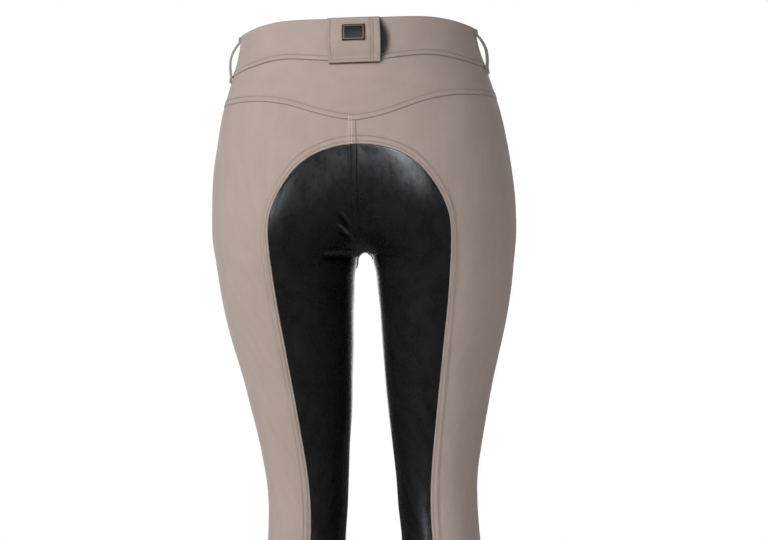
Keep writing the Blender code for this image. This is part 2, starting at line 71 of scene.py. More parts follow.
# One row for each level of the figure: the hips as an ellipse, and one leg as an ellipse round its pole.
SECTION_COLUMNS = (
    "z", "hip_w", "hip_front", "hip_back", "pole_x", "leg_w", "pole_y", "leg_front", "leg_back",
)
SECTIONS = (
    (40, 139.5, 93, 94, 60, 80, 0, 93, 94),
    (4, 143.6, 97, 98, 60, 84, 0, 97, 98),
    (-18, 148.8, 99, 100.5, 60, 89, 0, 99, 100.5),
    (-40, 156.8, 101, 103, 58, 99, 0, 101, 103),
    (-60, 163.3, 102.5, 107, 56, 108, 0, 102.5, 107),
    (-84, 170, 104, 112, 52, 118, 0, 104, 112),
    (-120, 177, 106, 120, 50, 127, 0, 105, 118),
    (-156, 182, 107, 125, 51, 131, 0, 105, 123),
    (-193, 185, 106, 127, 60, 125, 0, 104, 125),
    (-210, 185.3, 105, 126, 68, 117.3, 0, 103, 123),
    (-229, 185, 103, 123, 79, 106, 0, 101, 119),
    (-240, 184, 101, 120, 88, 96, 0, 100, 115),
    (-251, 182.7, 100, 116, 95, 87.7, 0, 99, 111),
    (-266, 181.2, 98, 110, 96.2, 84.8, 0, 98, 106),
    (-302, 176.3, 95, 100, 95.5, 80.8, 2, 94, 98),
    (-339, 169, 90, 90, 92.8, 76.3, 3, 89, 90),
    (-376, 160, 85, 85, 89.1, 70.8, 4, 84, 83),
    (-412, 151, 80, 80, 85.4, 65.3, 5, 78, 76),
    (-449, 143, 75, 75, 82.7, 60.1, 5, 72, 70),
    (-485, 135, 70, 70, 80.8, 54.6, 5, 66, 63),
    (-522, 129, 65, 65, 78.9, 50.2, 4, 61, 58),
    (-559, 127, 60, 60, 79.2, 48.3, 1, 58, 56),
    (-595, 128, 60, 60, 81.5, 47.5, -3, 56, 57),
    (-650, 130, 60, 60, 83.6, 48.8, -9, 54, 61),
    (-700, 130, 60, 60, 85.2, 50.2, -13, 52, 63),
    (-750, 130, 60, 60, 86.2, 48.8, -14, 51, 61),
    (-800, 130, 60, 60, 86.8, 44.5, -12, 48, 55),
    (-850, 130, 60, 60, 87, 39.8, -9, 44, 48),
    (-900, 130, 60, 60, 87, 36.4, -7, 41, 43),
    (-960, 130, 60, 60, 87, 35.6, -6, 41, 41),
)
HIP_POWER = 2.12  # 2 is a true ellipse, and more is squarer
LEG_POWER = 2.04
HIPS_END_Z, LEGS_START_Z = -60.0, -215.0  # between these the hips' ellipse gives way to the two legs

# Seams that go round the body, as (share, z). share runs from -1 at the centre back, by 0 at the side seam,
# to 1 at the centre front.
BAND_TOP = (
    (-1, 25.5), (-0.86, 26.2), (-0.7, 26.8), (-0.56, 26.4), (-0.4, 23.4), (-0.23, 18.8), (0, 15.5),
    (0.5, 7.5), (1, 1.5),
)
BAND_SEAM = (
    (-1, -25), (-0.86, -23.3), (-0.76, -21), (-0.66, -19.2), (-0.55, -19.4), (-0.43, -22.4),
    (-0.3, -26.8), (-0.15, -31.2), (0, -33.8), (0.5, -41), (1, -47),
)
YOKE_SEAM = (
    (-1, -95.8), (-0.92, -92.6), (-0.83, -87.2), (-0.73, -80), (-0.62, -73), (-0.52, -69.2),
    (-0.4, -67), (-0.28, -67), (0, -69.5),
)
# The outer edge of the seat patch seen from behind, as (x, z), from its top at the centre back to the cuff.
# The first row lies across the centre back, so that the arch is round there.
SEAT_EDGE = (
    (-34, -128.6), (0, -123.8), (34, -128.6), (57.4, -138.3), (71.6, -148.8), (86.9, -167.3), (100, -190.5),
    (106.1, -209.5), (107.6, -228), (106.9, -248.4), (104, -283.8), (100, -319.4), (95, -355),
    (90.2, -390.8), (85.2, -426.8), (80.5, -462.8), (76, -499), (72.6, -535), (71.9, -571),
    (73.2, -600), (76, -650), (78, -700), (79.5, -800), (80, -880), (80, -960),
)
ARCH_TOP_Z, SHOULDER_Z = -123.8, -167.3  # where SEAT_EDGE starts, and where its arch turns down the leg
# The seat patch's front edge, which is the inseam of the front panel, as (z, turn).
INSEAM = (
    (-251, 180), (-262, 176), (-280, 169), (-310, 160), (-350, 152), (-420, 146), (-520, 143),
    (-620, 142), (-720, 142), (-850, 143), (-960, 144),
)

# Belt loops: strips sewn down at both ends and bowed out between them, as (turn, width, top, bottom, bow).
SIDE_LOOP = (-8.0, 11.0, 15.5, -40.0, 6.8)
FRONT_LOOP = (94.0, 11.0, 3.0, -51.0, 6.8)
BACK_LOOP_WIDTH = 61.0
BACK_LOOP_TOP, BACK_LOOP_BOTTOM = 26.5, -27.0
BACK_LOOP_BOW = 7.2
LOOP_SEWN = 0.12  # the share of a loop's length that lies flat at each end
LOOP_FULLNESS = 0.9  # less than 1 makes the bow between the sewn ends fuller than a sine
LOOP_STEP = 5.0  # below the band a loop steps in to the panel over this height
# A painted shadow darkens the cloth beside the back loop's tunnel, where little light reaches. It goes this
# far from the loop, with a soft edge this wide, and FOOT_REACH down from the loop's lower edge.
TUNNEL_REACH, TUNNEL_FADE = 15.0, 8.0
FOOT_REACH = 3.0

# The label covers some of the back loop's rows and columns, as the solids divide it.
LOOP_ROWS, BACK_LOOP_COLUMNS = 11, 7
LABEL_ROWS = (2, 6)
LABEL_COLUMNS = (2, 5)
LABEL_THICKNESS = 1.2

# The closure at the centre front, right over left.
FLY_WIDTH, FLY_LENGTH, FLY_OVERLAP = 34.0, 122.0, 4.0
FLY_STRAIGHT = 0.68  # the share of its length above the round end
FLY_ROUND = 0.97  # how much of a quarter ellipse the round end takes
FLY_THICKNESS = 1.2
TAB_REACH, TAB_SEWN, TAB_MARGIN = 36.0, 8.0, 1.2
TAB_ROUND, TAB_BEND = 15.0, 0.8  # how long the round end is, and how much of a quarter ellipse it takes
TAB_THICKNESS = 2.0
BUTTON_X = -20.0

# How finely the cloth is built. Grid lines lie at EDGE_STEPS from every edge of a panel, so that seams and
# sewing follow them, and about PITCH apart between those.
PITCH = 3.6
EDGE_STEPS = (
    0.02, 0.35, 0.9, 1.7, 2.7, 3.6, 4.5, 5.4, 6.3, 7.2, 8.2, 9.0, 9.7, 10.4, 11.4, 13.0,
)
STRIP_STEPS = (0.0, 0.3, 0.8, 1.6, 2.4, 3.3)  # the same for a narrow strip, such as a belt loop
PLAIN = (0.0,)  # for an edge that needs no close lines
BOTH_ENDS = (EDGE_STEPS, EDGE_STEPS)
BAND_TOP_STEPS = (0.0, 0.4, 0.9, 1.7, 2.7, 3.8, 5.4)
HEM_STEPS = (
    0.0, 0.4, 0.9, 1.7, 2.7, 4.6, 7.4, 10.4, 13.2, 15.6, 17.0, 18.0, 19.0, 20.0, 21.0, 22.0, 23.6, 25.4,
)
LABEL_STEPS = (0.0, 0.3, 0.7, 1.2, 1.8, 2.4, 3.2)
TAB_STEPS = (0.0, 0.007, 0.018, 0.036, 0.054, 0.072)  # as shares of the tab's height
TAB_SEWN_LINE = 5
LOOP_LINES, FLY_LINES, CUFF_COLUMNS = 26, 60, 76
# How many lines stations() puts between the close ones.
LOOP_MIDDLE, BACK_LOOP_MIDDLE, LABEL_MIDDLE, FLY_MIDDLE, TAB_MIDDLE = 3, 12, (4, 6), 4, 14
SQUEEZE = 1.3  # a length under this many times its two ends' steps has those squeezed
SEAM_CLOSER, INSEAM_CLOSER = 2, 1.5  # more than 1 brings a seam's places closer together at the crotch
COUNTS = {"torso": 48, "front": 48, "back": 14, "yoke": 12, "rise": 48, "leg": 90, "band": 6}
CURVE_STEPS = 240  # how finely a seam is measured before its points are spaced out
HALVINGS = 36  # how often the search for the surface halves its range
FARTHEST = 400.0  # the surface lies nearer than this to every pole
NORMAL_STEP = 0.5
MIDDLE_SLACK = 0.05  # a point nearer than this to the mid-plane counts as lying on it
SHARP_ANGLE = math.radians(50)

# Seams. A lapped edge is raised by what is folded in under it, and each row of sewing pulls a groove.
EDGE_ROUND = 0.7  # the radius of a cut or folded edge
CALM_WIDTH, CREASE_CALM = 12.0, 3.0  # drift and creases fade to nothing over these widths at an edge
LAP_ENDS_OVER = 30.0  # a lap with an end fades out over this height
LAP_FALL = 1.6  # over this width a lap's raised strip falls back to the panel
GROOVE_DEPTH, GROOVE_HALF = 0.30, 0.75
ALL_EDGES = ("left", "right", "top", "bottom")
# How dark a seam's painted shade is at its own edge, and its half widths there and at a row of sewing.
EDGE_SHADE, EDGE_SHADE_HALF, ROW_SHADE_HALF = 0.7, 0.8, 0.7
# An edge's lap: how wide and how high its raised strip is, how far from the edge its rows of sewing lie, and
# the height at which it ends.
NO_END = -2000.0
BAND_LAP = (7.0, 0.0, (5.4,), NO_END)
YOKE_LAP = (7.2, 0.7, (6.3,), NO_END)
SEAT_LAP = (10.4, 0.7, (3.6, 9.7), NO_END)
CENTRE_LAP = (9.0, 0.4, (), NO_END)
CENTRE_SEWING = (5.4, 8.2)
SEAT_CENTRE_LAP = (8.2, 0.2, (7.2,), -232.0)
CUFF_LAP = (7.2, 0.4, (6.3,), NO_END)
HEM_LAP = (22.0, 0.35, (18.0, 21.0), NO_END)
BACK_LOOP_LAPS = {
    "left": (0, 0, (3.6,), NO_END), "bottom": (0, 0, (3.6,), NO_END), "right": (0, 0, (8.2, 11.4), NO_END),
}
LABEL_LAP = (1.2, 0.25, (), NO_END)
FLY_LAP = (0, 0, (5.4, 8.2), NO_END)
LOOP_SEWING, TAB_SEWING = 2.4, 3.3  # flat rows of sewing along both sides
TACK_LINES = (4, 5, 6, -7, -6, -5)  # the lines of a narrow loop that its bar tacks lie on
PUCKER_REACH, PUCKER_START = 9.0, 1.5  # how far into the panel a seam's puckers run, and where they are full
PUCKER_HEIGHTS = {
    "panel": 0.07, "waistband": 0.09, "seat": 0.0, "narrow_loop": 0.04, "back_loop": 0.05, "label": 0.0,
    "fly": 0.06, "tab": 0.05,
}
PUCKER_WAVES = ((9.7, 0.7, 0.3), (15.7, 0.8, 1.9), (27.0, 0.9, 4.1))  # length, height, phase
# What the right and the left piece of a pair add to the phases, so that they aren't mirror images.
PHASES = {"back": (0.0, 2.3), "seat": (1.1, 3.7), "front": (0.7, 4.4), "cuff": (0.2, 5.1)}
DRIFT_HEIGHT = 0.35  # slow unevenness of the cloth, as waves through space
SEAT_DRIFT = 0.6  # the share of it that the seat patches have
DRIFT_WAVES = (
    (0.058, 0.021, 0.043, 0.4), (-0.031, 0.062, 0.029, 2.1), (0.022, -0.034, 0.071, 3.3),
    (0.087, 0.015, -0.052, 5.2), (-0.012, 0.079, 0.088, 1.2),
)

# Creases. Each runs along the surface from one place to another, seen from the back (side -1) or
# the front (side 1): its ends, how far it bows sideways, its half width, and its height, which is negative
# for a trough. Beside it runs a softer ridge or trough, the shoulder, sized as shares of it.
CREASE_COLUMNS = ("side", "x1", "z1", "x2", "z2", "bow", "half_width", "height")
SHOULDER_SHARE, SHOULDER_AWAY, SHOULDER_WIDTH = -0.45, 2.1, 1.3
CREASES = (
    (-1, -29, -202, -12, -225, 2.0, 2.2, -1.2),
    (-1, -28, -215, -11, -231, 1.5, 1.6, 1.2),
    (-1, -27, -226, -10, -238, 1.5, 2.4, -1.0),
    (-1, -48, -249, -9, -248, -1.5, 2.0, 1.0),
    (-1, -52, -257, -12, -262, 2.0, 4.0, -1.2),
    (-1, -60, -252, -46, -278, 1.0, 2.6, 0.5),
    (-1, 37.0, -143, 38.0, -178, 0.8, 1.2, -0.12),
    (-1, 6, -204, 28, -197, 3.0, 1.6, 0.5),
    (-1, 8, -213, 32, -210, 2.5, 1.8, 0.4),
    (-1, 12, -256, 52, -260, 2.0, 3.0, -0.6),
    (-1, -66, -560, -104, -556, 4.0, 5.0, -0.5),
    (-1, -62, -585, -98, -589, -3.0, 5.5, -0.45),
    (-1, 64, -566, 100, -560, 4.0, 5.0, -0.5),
    (-1, 66, -592, 104, -597, -3.5, 5.5, -0.4),
    (1, -46, -214, -9, -238, 3.0, 3.2, -1.0),
    (1, -58, -232, -14, -250, 3.0, 3.6, 0.7),
    (1, 47, -208, 10, -236, -3.0, 3.0, -1.1),
    (1, 62, -229, 16, -251, -3.5, 3.8, 0.7),
    (1, -96, -176, -52, -200, 5.0, 5.5, -0.6),
    (1, 98, -182, 56, -203, -5.0, 5.5, -0.55),
    (1, 60, -545, 100, -549, -3.0, 6.0, -0.4),
    (1, -62, -550, -102, -545, 3.0, 6.0, -0.4),
    (1, 70, -770, 106, -764, 2.5, 4.5, -0.5),
    (1, -70, -764, -104, -771, 2.5, 4.5, -0.5),
    (-1, 68, -842, 104, -836, -2.5, 4.5, -0.5),
    (-1, -68, -836, -106, -844, 2.5, 4.5, -0.5),
    (1, 66, -872, 104, -880, 2.5, 4.0, -0.45),
    (1, -66, -880, -104, -871, 2.5, 4.0, -0.45),
)
CREASE_POINTS = 80
CREASE_FADE = 0.3  # the share of its length over which each end fades out
CREASE_REACH = 5.0  # nothing is left of it this many half widths away

# Where the inseam's folded edge stands out under the crotch: how far it runs down each leg.
INSEAM_ROLLS = (("left", 19.0), ("right", 8.0))
ROLL_START = 0.5
ROLL_RADII = (0.9, 0.25)  # outer and inner
ROLL_RISE = 0.7
ROLL_TIP = 0.1  # the angle of the sine that a roll thins out along, at its very ends
ROLL_LINES, ROLL_SIDES = 30, 10

# Thread. A stitch is a tube through stations of (share of its length, rise, girth), and a row starts and
# stops at these shares of the pitch from its ends.
STITCH_PITCH, STITCH_LENGTH, THREAD_RADIUS = 3.1, 2.5, 0.26
STITCH_STATIONS = ((-0.5, -0.22, 0.55), (-0.25, 0.16, 1.0), (0.25, 0.16, 1.0), (0.5, -0.22, 0.55))
STITCH_SIDES = 5
ROW_START, ROW_STOP = 0.6, 0.5
WAY_STEP = 0.5  # a row's direction is taken this far on each side
CREAM_SIZE = 1.7  # how much thicker the cream thread is
CREAM_BELOW = 1.0  # its rows over the yoke's lap start this far below the yoke's seam
CREAM_POINTS = 80

# Colours, as linear RGB.
TAUPE_PALE = (0.312, 0.254, 0.224)
TAUPE_DEEP = (0.288, 0.232, 0.203)
TAUPE_FLECK = (0.215, 0.168, 0.146)
# The colour of the painted shadow beside the back loop's tunnel.
TAUPE_PAINTED_SHADOW = (0.026, 0.018, 0.015)
TAUPE_THREAD = (0.255, 0.205, 0.178)
CREAM_THREAD = (0.62, 0.52, 0.40)
BLACK = (0.0062, 0.0062, 0.0064)
BLACK_WORN = (0.0088, 0.0090, 0.0097)
CREST_PAINTED_HIGHLIGHT = (0.034, 0.035, 0.038)  # a painted highlight along a crease's crest
BLACK_THREAD = (0.006, 0.006, 0.0065)
LABEL_BLACK = (0.006, 0.0062, 0.0065)
LABEL_BORDER = (0.16, 0.12, 0.05)
METAL = (0.12, 0.11, 0.10)
# Bar tacks and buttonhole sewing, and the painted shade on the inseam rolls under the crotch.
TACK_THREAD_AND_ROLL_SHADE = (0.09, 0.07, 0.06)
FLOOR_GREYS = ((0.74, 0.74, 0.73), (0.80, 0.80, 0.79))
# The painted seam shade: how strongly it darkens the cloth, and towards what tone.
SEAM_DARKENS, SEAM_TONE = 0.5, 0.35  # how much of a seam's dark is mixed in, and its share of the deep tone
PLY_TONE, LABEL_FLECK_TONE, METAL_WORN_TONE = 0.75, 1.6, 1.7  # other tones, as shares of the plain colour

# The finishes. Scales are in cycles a millimetre, across and along the cloth, and reliefs are in metres.
# Ranges are read from a noise, of which nearly all lies between 0.3 and 0.7, or from a named attribute.
WIDE, NARROW, FULL = (0.3, 0.7), (0.35, 0.65), (0, 1)
YARN_SCALE, MOTTLE_SCALE = (0.45, 1.3, 1), (0.03, 0.05, 1)
FLECK_RANGE, FLECK_SHARE = (0.42, 0.75), (0, 0.35)
TWILL_SLOPE = math.radians(27)
TWILL_RIBS, TWILL_WAVER, TWILL_RIB_SHARE = 0.9, 1.2, 0.6
TWILL_RELIEF = 0.00012
TWILL_FINISH = {
    "Roughness": 0.82, "Sheen Weight": 0.22, "Sheen Roughness": 0.45, "Specular IOR Level": 0.25,
}
WEAR_SCALE, SCUFF_SCALE = (0.05, 0.035, 1), (0.16, 0.11, 1)
# Crease heights that get a painted highlight on the crest and painted shade in the trough.
CREST_RANGE, TROUGH_RANGE, TROUGH_SHARE = (0.2, 1.1), (-1.0, -0.15), (0.9, 0)  # heights of a crease
COATED_ROUGHNESS, SCUFF_ROUGHNESS = (0.23, 0.29), (0, 0.05)
GRAIN_SHARE, FINE_WEAR_SHARE, SCUFF_SHARE = 0.2, 0.2, 1.6  # of the coated cloth's relief
GRAIN_RELIEF = 0.00008
# How the painted seam shade cuts down the coated cloth's reflection, so that its seams look dark.
SEAM_SHADE_RANGE, COATED_SPECULAR = (0, 0.7), (0.3, 0.02)
LABEL_ROUGHNESS, LABEL_RELIEF = (0.45, 0.6), 0.00008
METAL_ROUGHNESS, METAL_RELIEF = (0.32, 0.5), 0.00005
# How far the label's line lies from its edge, and its half width, in millimetres.
LABEL_BORDER_AT, LABEL_BORDER_HALF = 2.2, 0.45

# The button: a turned profile of (radius, height), and the buttonhole under it.
BUTTON_PROFILE = (
    (2.0, 2.2), (5.2, 2.25), (6.4, 2.6), (7.2, 3.3), (7.9, 3.4), (8.4, 3.1), (8.5, 2.6), (8.3, 0.9),
    (7.6, 0.2), (6.8, 0.0),
)
BUTTON_SEGMENTS = 48
BUTTONHOLE_X, BUTTONHOLE_HALF, BUTTONHOLE_WIDTH = -21.0, 10.5, 2.0
BUTTONHOLE_ROWS = (0.0, 0.6, 1.2)  # how far outside its edge each row of sewing runs
BUTTONHOLE_POINTS = 60

# The studio, in metres: a white surround, a pale floor, and large soft lights.
WORLD_LIGHT = (0.140, 0.122, 0.114)  # what the garment gets from all round; the camera sees white
WORLD_REFLECTED = 0.5  # the share of it that glossy cloth reflects
FLOOR_RADIUS, FLOOR_SIDES = 3.0, 96
# The floor glows towards its rim, a painted glow with no lamp, so that it melts into the surround.
FLOOR_GLOWS = (0.9, 2.9)  # from the first radius to the second it turns as white as the surround
# The last two say whether matte cloth is lit by a light, and whether glossy cloth reflects it.
LIGHT_COLUMNS = ("name", "place", "aim", "size", "energy", "colour", "lights", "reflected")
LIGHTS = (
    ("key", (-2.35, -2.25, 1.65), (0, 0, -0.3), (1.1, 1.3), 112, (1, 1, 1), True, False),
    ("fill", (-0.6, -3.5, 0.9), (0, 0, -0.4), (2.0, 1.4), 62, (1, 1, 1), True, False),
    ("left_sheen", (-2.3, -2.4, 0.7), (0, 0, -0.2), (0.8, 1.7), 46, (0.84, 0.93, 1), False, True),
    ("right_sheen", (0.59, -2.95, 1.60), (0, 0, -0.1), (0.45, 0.55), 118, (0.84, 0.93, 1), False, True),
    ("back", (0.0, 2.6, 0.7), (0, 0, -0.4), (3.2, 2.4), 60, (1, 1, 1), True, False),
    ("back_sheen", (0.0, 2.7, 0.5), (0, 0, -0.4), (2.1, 2.6), 40, (1, 1, 1), False, True),
    ("rim", (2.4, 0.9, 0.3), (0, 0, -0.4), (0.5, 2.0), 8, (1, 1, 1), True, True),
)

# The camera, level and behind the garment, and its roll, as the photograph frames it.
CAMERA_DISTANCE = 3000.0
CAMERA_AZIMUTH = math.radians(3.0)
CAMERA_Z, CAMERA_AIM_Z = -272.0, -272.7
CAMERA_ROLL = math.radians(1.8)
CAMERA_ASIDE = 22.4  # it looks this far to the right of the garment's axis
IMAGE_WIDTH = 768
MM_PER_PIXEL = 1.22  # at the garment's axis
SENSOR_WIDTH = 36.0


def column(name):
    return np.array([row[SECTION_COLUMNS.index(name)] for row in SECTIONS], float)


def unit(vectors):
    return vectors / np.maximum(np.linalg.norm(vectors, axis=-1, keepdims=True), TINY)


def through(knots, values, at):
    """A smooth curve through the values, read at these places. The knots may run down or up."""
    order = np.argsort(knots)
    knots, values = knots[order], values[order]
    slopes = np.gradient(values, knots)
    at = np.clip(np.asarray(at, float), knots[0], knots[-1])
    i = np.clip(np.searchsorted(knots, at) - 1, 0, len(knots) - 2)
    width = knots[i + 1] - knots[i]
    t = (at - knots[i]) / width
    return (
        values[i] * (2 * t**3 - 3 * t**2 + 1)
        + values[i + 1] * (3 * t**2 - 2 * t**3)
        + slopes[i] * width * (t**3 - 2 * t**2 + t)
        + slopes[i + 1] * width * (t**3 - t**2)
    )


def curve(table, at):
    """A smooth curve through a table's second column, read at these values of its first."""
    return through(*np.array(table, float).T, at)


def section(name, z):
    return through(column("z"), column(name), z)


def oval(x, y, width, depth, power):
    """Roughly how far a point lies outside an oval round the origin."""
    size = (np.abs(x / width) ** power + np.abs(y / depth) ** power) ** (1 / power)
    return (size - 1) * width


def outside(x, y, z):
    """Roughly how far a point lies outside the figure, in millimetres. It is 0 on the surface."""
    hip_depth = np.where(y > 0, section("hip_front", z), section("hip_back", z))
    hips = oval(x, y, section("hip_w", z), hip_depth, HIP_POWER)

    pole_x, pole_y, leg_w = (section(name, z) for name in ("pole_x", "pole_y", "leg_w"))
    leg_depth = np.where(y > pole_y, section("leg_front", z), section("leg_back", z))
    near = oval(np.abs(x) - pole_x, y - pole_y, leg_w, leg_depth, LEG_POWER)
    far = oval(-np.abs(x) - pole_x, y - pole_y, leg_w, leg_depth, LEG_POWER)
    overlap = np.maximum(CROTCH_BLEND - np.abs(near - far), 0)
    legs = np.minimum(near, far) - overlap**2 / (4 * CROTCH_BLEND)

    share = np.clip((z - HIPS_END_Z) / (LEGS_START_Z - HIPS_END_Z), 0, 1)
    share = share * share * (3 - 2 * share)
    return hips * (1 - share) + legs * share


def crossing(function, low, high):
    """Where a rising function crosses 0 between low and high, by halving."""
    low, high = np.array(low, float), np.array(high, float)
    for _ in range(HALVINGS):
        middle = (low + high) / 2
        inside = function(middle) < 0
        low, high = np.where(inside, middle, low), np.where(inside, high, middle)
    return (low + high) / 2


CROTCH_Z = -float(crossing(lambda depth: outside(0.0, 0.0, -depth), 0.0, FARTHEST))


def normal_at(point):
    """The surface's outward normal at each point, from how outside() changes round it."""
    slopes = []
    for step in NORMAL_STEP * np.eye(3):
        ahead, behind = np.moveaxis(point + step, -1, 0), np.moveaxis(point - step, -1, 0)
        slopes.append(outside(*ahead) - outside(*behind))
    return unit(np.stack(slopes, axis=-1))


def leg_surface(turn, z):
    """The point of the garment's right half at this turn and height."""
    turn, z = np.broadcast_arrays(np.asarray(turn, float), np.asarray(z, float))
    pole_x, pole_y = section("pole_x", z), section("pole_y", z)
    along_x, along_y = np.cos(np.radians(turn)), np.sin(np.radians(turn))
    to_middle = np.where(along_x < 0, pole_x / np.maximum(-along_x, TINY), FARTHEST)
    radius = crossing(
        lambda r: outside(pole_x + r * along_x, pole_y + r * along_y, z),
        np.zeros_like(z),
        np.minimum(to_middle, FARTHEST),
    )
    return np.stack([pole_x + radius * along_x, pole_y + radius * along_y, z], axis=-1)


def body_surface(x, z, side):
    """The point of the whole garment at this x and height: side is 1 for the front and -1 for the back."""
    x, z = np.broadcast_arrays(np.asarray(x, float), np.asarray(z, float))
    reach = crossing(lambda r: outside(x, side * r, z), np.zeros_like(z), np.full_like(z, FARTHEST))
    return np.stack([x, side * reach, z], axis=-1)


def middle_turn(z, side):
    """The turn at which the surface meets the mid-plane above the crotch."""
    point = body_surface(np.zeros_like(np.asarray(z, float)), z, side)
    return np.degrees(np.arctan2(point[..., 1] - section("pole_y", z), -section("pole_x", z)))


# Seams, as arrays of places (turn, z).

def read(values, along, at):
    """Rows of values, each given at a length along a line, read at other lengths."""
    return np.stack([np.interp(at, along, each) for each in values.T], axis=-1)


def line_lengths(points):
    """How far each point of a line lies from its first one."""
    return lengths(points[None], 1)[0]


def evenly(places, count):
    """count + 1 places along a line of places, evenly spaced on the garment."""
    along = line_lengths(leg_surface(places[:, 0], places[:, 1]))
    return read(places, along, np.linspace(0, along[-1], count + 1))


def round_seam(table, first_share, last_share, count):
    """A seam round the body, from one share of the way round to another."""
    shares = np.linspace(first_share, last_share, CURVE_STEPS + 1)
    z = curve(table, shares)
    turn = np.where(shares < 0, -shares * middle_turn(z, -1), shares * middle_turn(z, 1))
    return evenly(np.stack([turn, z], axis=1), count)


def middle_seam(side, top_z, count):
    """The centre-front or centre-back seam from top_z down to the crotch."""
    z = CROTCH_Z + (top_z - CROTCH_Z) * np.linspace(1, 0, CURVE_STEPS + 1) ** SEAM_CLOSER
    turn = middle_turn(z, side)
    turn[-1] = side * 180
    return evenly(np.stack([turn, z], axis=1), count)


def middle_edge(side, top_z, bottom_z, count):
    """A short stretch of the centre-front or centre-back seam."""
    z = np.linspace(top_z, bottom_z, count + 1)
    return np.stack([middle_turn(z, side), z], axis=1)


def side_seam(top_z, bottom_z, count):
    z = np.linspace(top_z, bottom_z, count + 1)
    return np.stack([np.zeros_like(z), z], axis=1)


def inseam(bottom_z, count):
    """From the crotch down the inner leg, with closer rows under the crotch, where it turns fastest."""
    z = CROTCH_Z + (bottom_z - CROTCH_Z) * np.linspace(0, 1, CURVE_STEPS + 1) ** INSEAM_CLOSER
    turn = curve(INSEAM, z)
    turn[0] = 180
    return evenly(np.stack([turn, z], axis=1), count)


def seat_edge(first_z, last_z, count):
    """A stretch of the seat patch's outer edge."""
    along = line_lengths(np.array(SEAT_EDGE, float))
    x, z = np.array(SEAT_EDGE, float).T
    first, last = np.interp([-first_z, -last_z], -z[1:], along[1:])
    at = np.linspace(first, last, CURVE_STEPS + 1)
    x, z = through(along, x, at), through(along, z, at)
    point = body_surface(x, z, -1)
    turn = np.degrees(np.arctan2(point[:, 1] - section("pole_y", z), x - section("pole_x", z)))
    return evenly(np.stack([turn, z], axis=1), count)


# Grids and walls.

def joined(*stretches):
    """Stretches of one edge, each starting where the last one ends."""
    return np.concatenate([stretches[0]] + [stretch[1:] for stretch in stretches[1:]])


def to_cuff(seam, top_z):
    """A seam from a height down to the cuff, in two stretches that meet at the crotch's height."""
    return joined(seam(top_z, CROTCH_Z, COUNTS["rise"]), seam(CROTCH_Z, CUFF_Z, COUNTS["leg"]))


def between(top, bottom, left, right):
    """The places of a grid inside four edges. Rows run from top to bottom, columns from left to right."""
    down = np.linspace(0, 1, len(left))[:, None, None]
    across = np.linspace(0, 1, len(top))[None, :, None]
    corners = (
        (1 - down) * ((1 - across) * top[0] + across * top[-1])
        + down * ((1 - across) * bottom[0] + across * bottom[-1])
    )
    sides = (1 - across) * left[:, None] + across * right[:, None]
    return (1 - down) * top + down * bottom + sides - corners


def both_halves(right):
    """A grid that crosses the mid-plane, from its right half, whose first column lies on that plane."""
    right = right.copy()
    right[:, 0, 0] = 0
    return np.concatenate([(right * MIRROR)[:, ::-1], right[:, 1:]], axis=1)


# Grids of points, rows from top to bottom and columns from left to right.

def lengths(grid, axis):
    """How far each point lies from the first one, along the rows (axis 1) or down the columns (axis 0)."""
    step = np.linalg.norm(np.diff(grid, axis=axis), axis=-1)
    zero = np.zeros_like(np.take(step, [0], axis=axis))
    return np.concatenate([zero, np.cumsum(step, axis=axis)], axis=axis)


def stations(length, first, last, count):
    """Where grid lines go over a length: at the first and last steps from its ends, and evenly between."""
    share = min(1.0, length / (SQUEEZE * (first[-1] + last[-1])))
    first, last = np.array(first) * share, np.array(last) * share
    middle = np.linspace(first[-1], length - last[-1], count + 2)[1:-1]
    return np.concatenate([first, middle, length - last[::-1]])


def respaced(places, points, axis, steps):
    """The grid of places with its lines moved to stations() along an axis."""
    along = np.moveaxis(lengths(points, axis), axis, -1)
    values = np.moveaxis(places, axis, -2)
    count = max(2, round((along[:, -1].max() - steps[0][-1] - steps[1][-1]) / PITCH))
    rows = []
    for at, value in zip(along, values):
        rows.append(read(value, at, stations(at[-1], *steps, count)))
    return np.moveaxis(np.stack(rows), -2, axis)


def fine(places, across=BOTH_ENDS, down=BOTH_ENDS):
    """The surface points of a patch of places (turn, z), with lines close together at its edges."""
    places = respaced(places, leg_surface(places[..., 0], places[..., 1]), 1, across)
    places = respaced(places, leg_surface(places[..., 0], places[..., 1]), 0, down)
    return leg_surface(places[..., 0], places[..., 1])


def unfolded(points):
    """The grid with each row spanned straight where it would run along the mid-plane inside the crotch."""
    points = points.copy()
    for row in points:
        clear = 1 + int(np.argmax(row[1:, 0] > MIDDLE_SLACK))
        share = np.linspace(0, 1, clear + 1)[:, None]
        row[:clear + 1] = row[0] + (row[clear] - row[0]) * share
    return points


def painted_loop_shadow(points):
    """The painted shadow beside the back loop's tunnel and under its lower edge, from 0 to 1."""
    x, y, z = np.moveaxis(points, -1, 0)
    share = (BACK_LOOP_TOP - z) / (BACK_LOOP_TOP - BACK_LOOP_BOTTOM)
    reach = TUNNEL_REACH * np.sqrt(np.sin(math.pi * np.clip(share, 0, 1)))
    beside = soft((reach - (x - BACK_LOOP_WIDTH / 2)) / TUNNEL_FADE) * (x > 0)
    below = soft(1 - (BACK_LOOP_BOTTOM - z) / FOOT_REACH) * (np.abs(x) < BACK_LOOP_WIDTH / 2)
    return np.where(share < 1, beside, below) * (y < 0)


def own_normals(grid, outward):
    """The normals of a grid, on the side that outward points to."""
    normal = unit(np.cross(np.gradient(grid, axis=0), np.gradient(grid, axis=1)))
    return normal * np.sign((normal * outward).sum(axis=-1, keepdims=True))


# The cloth's relief: heights in millimetres over the plain surface.

def soft(share):
    share = np.clip(share, 0, 1)
    return share * share * (3 - 2 * share)


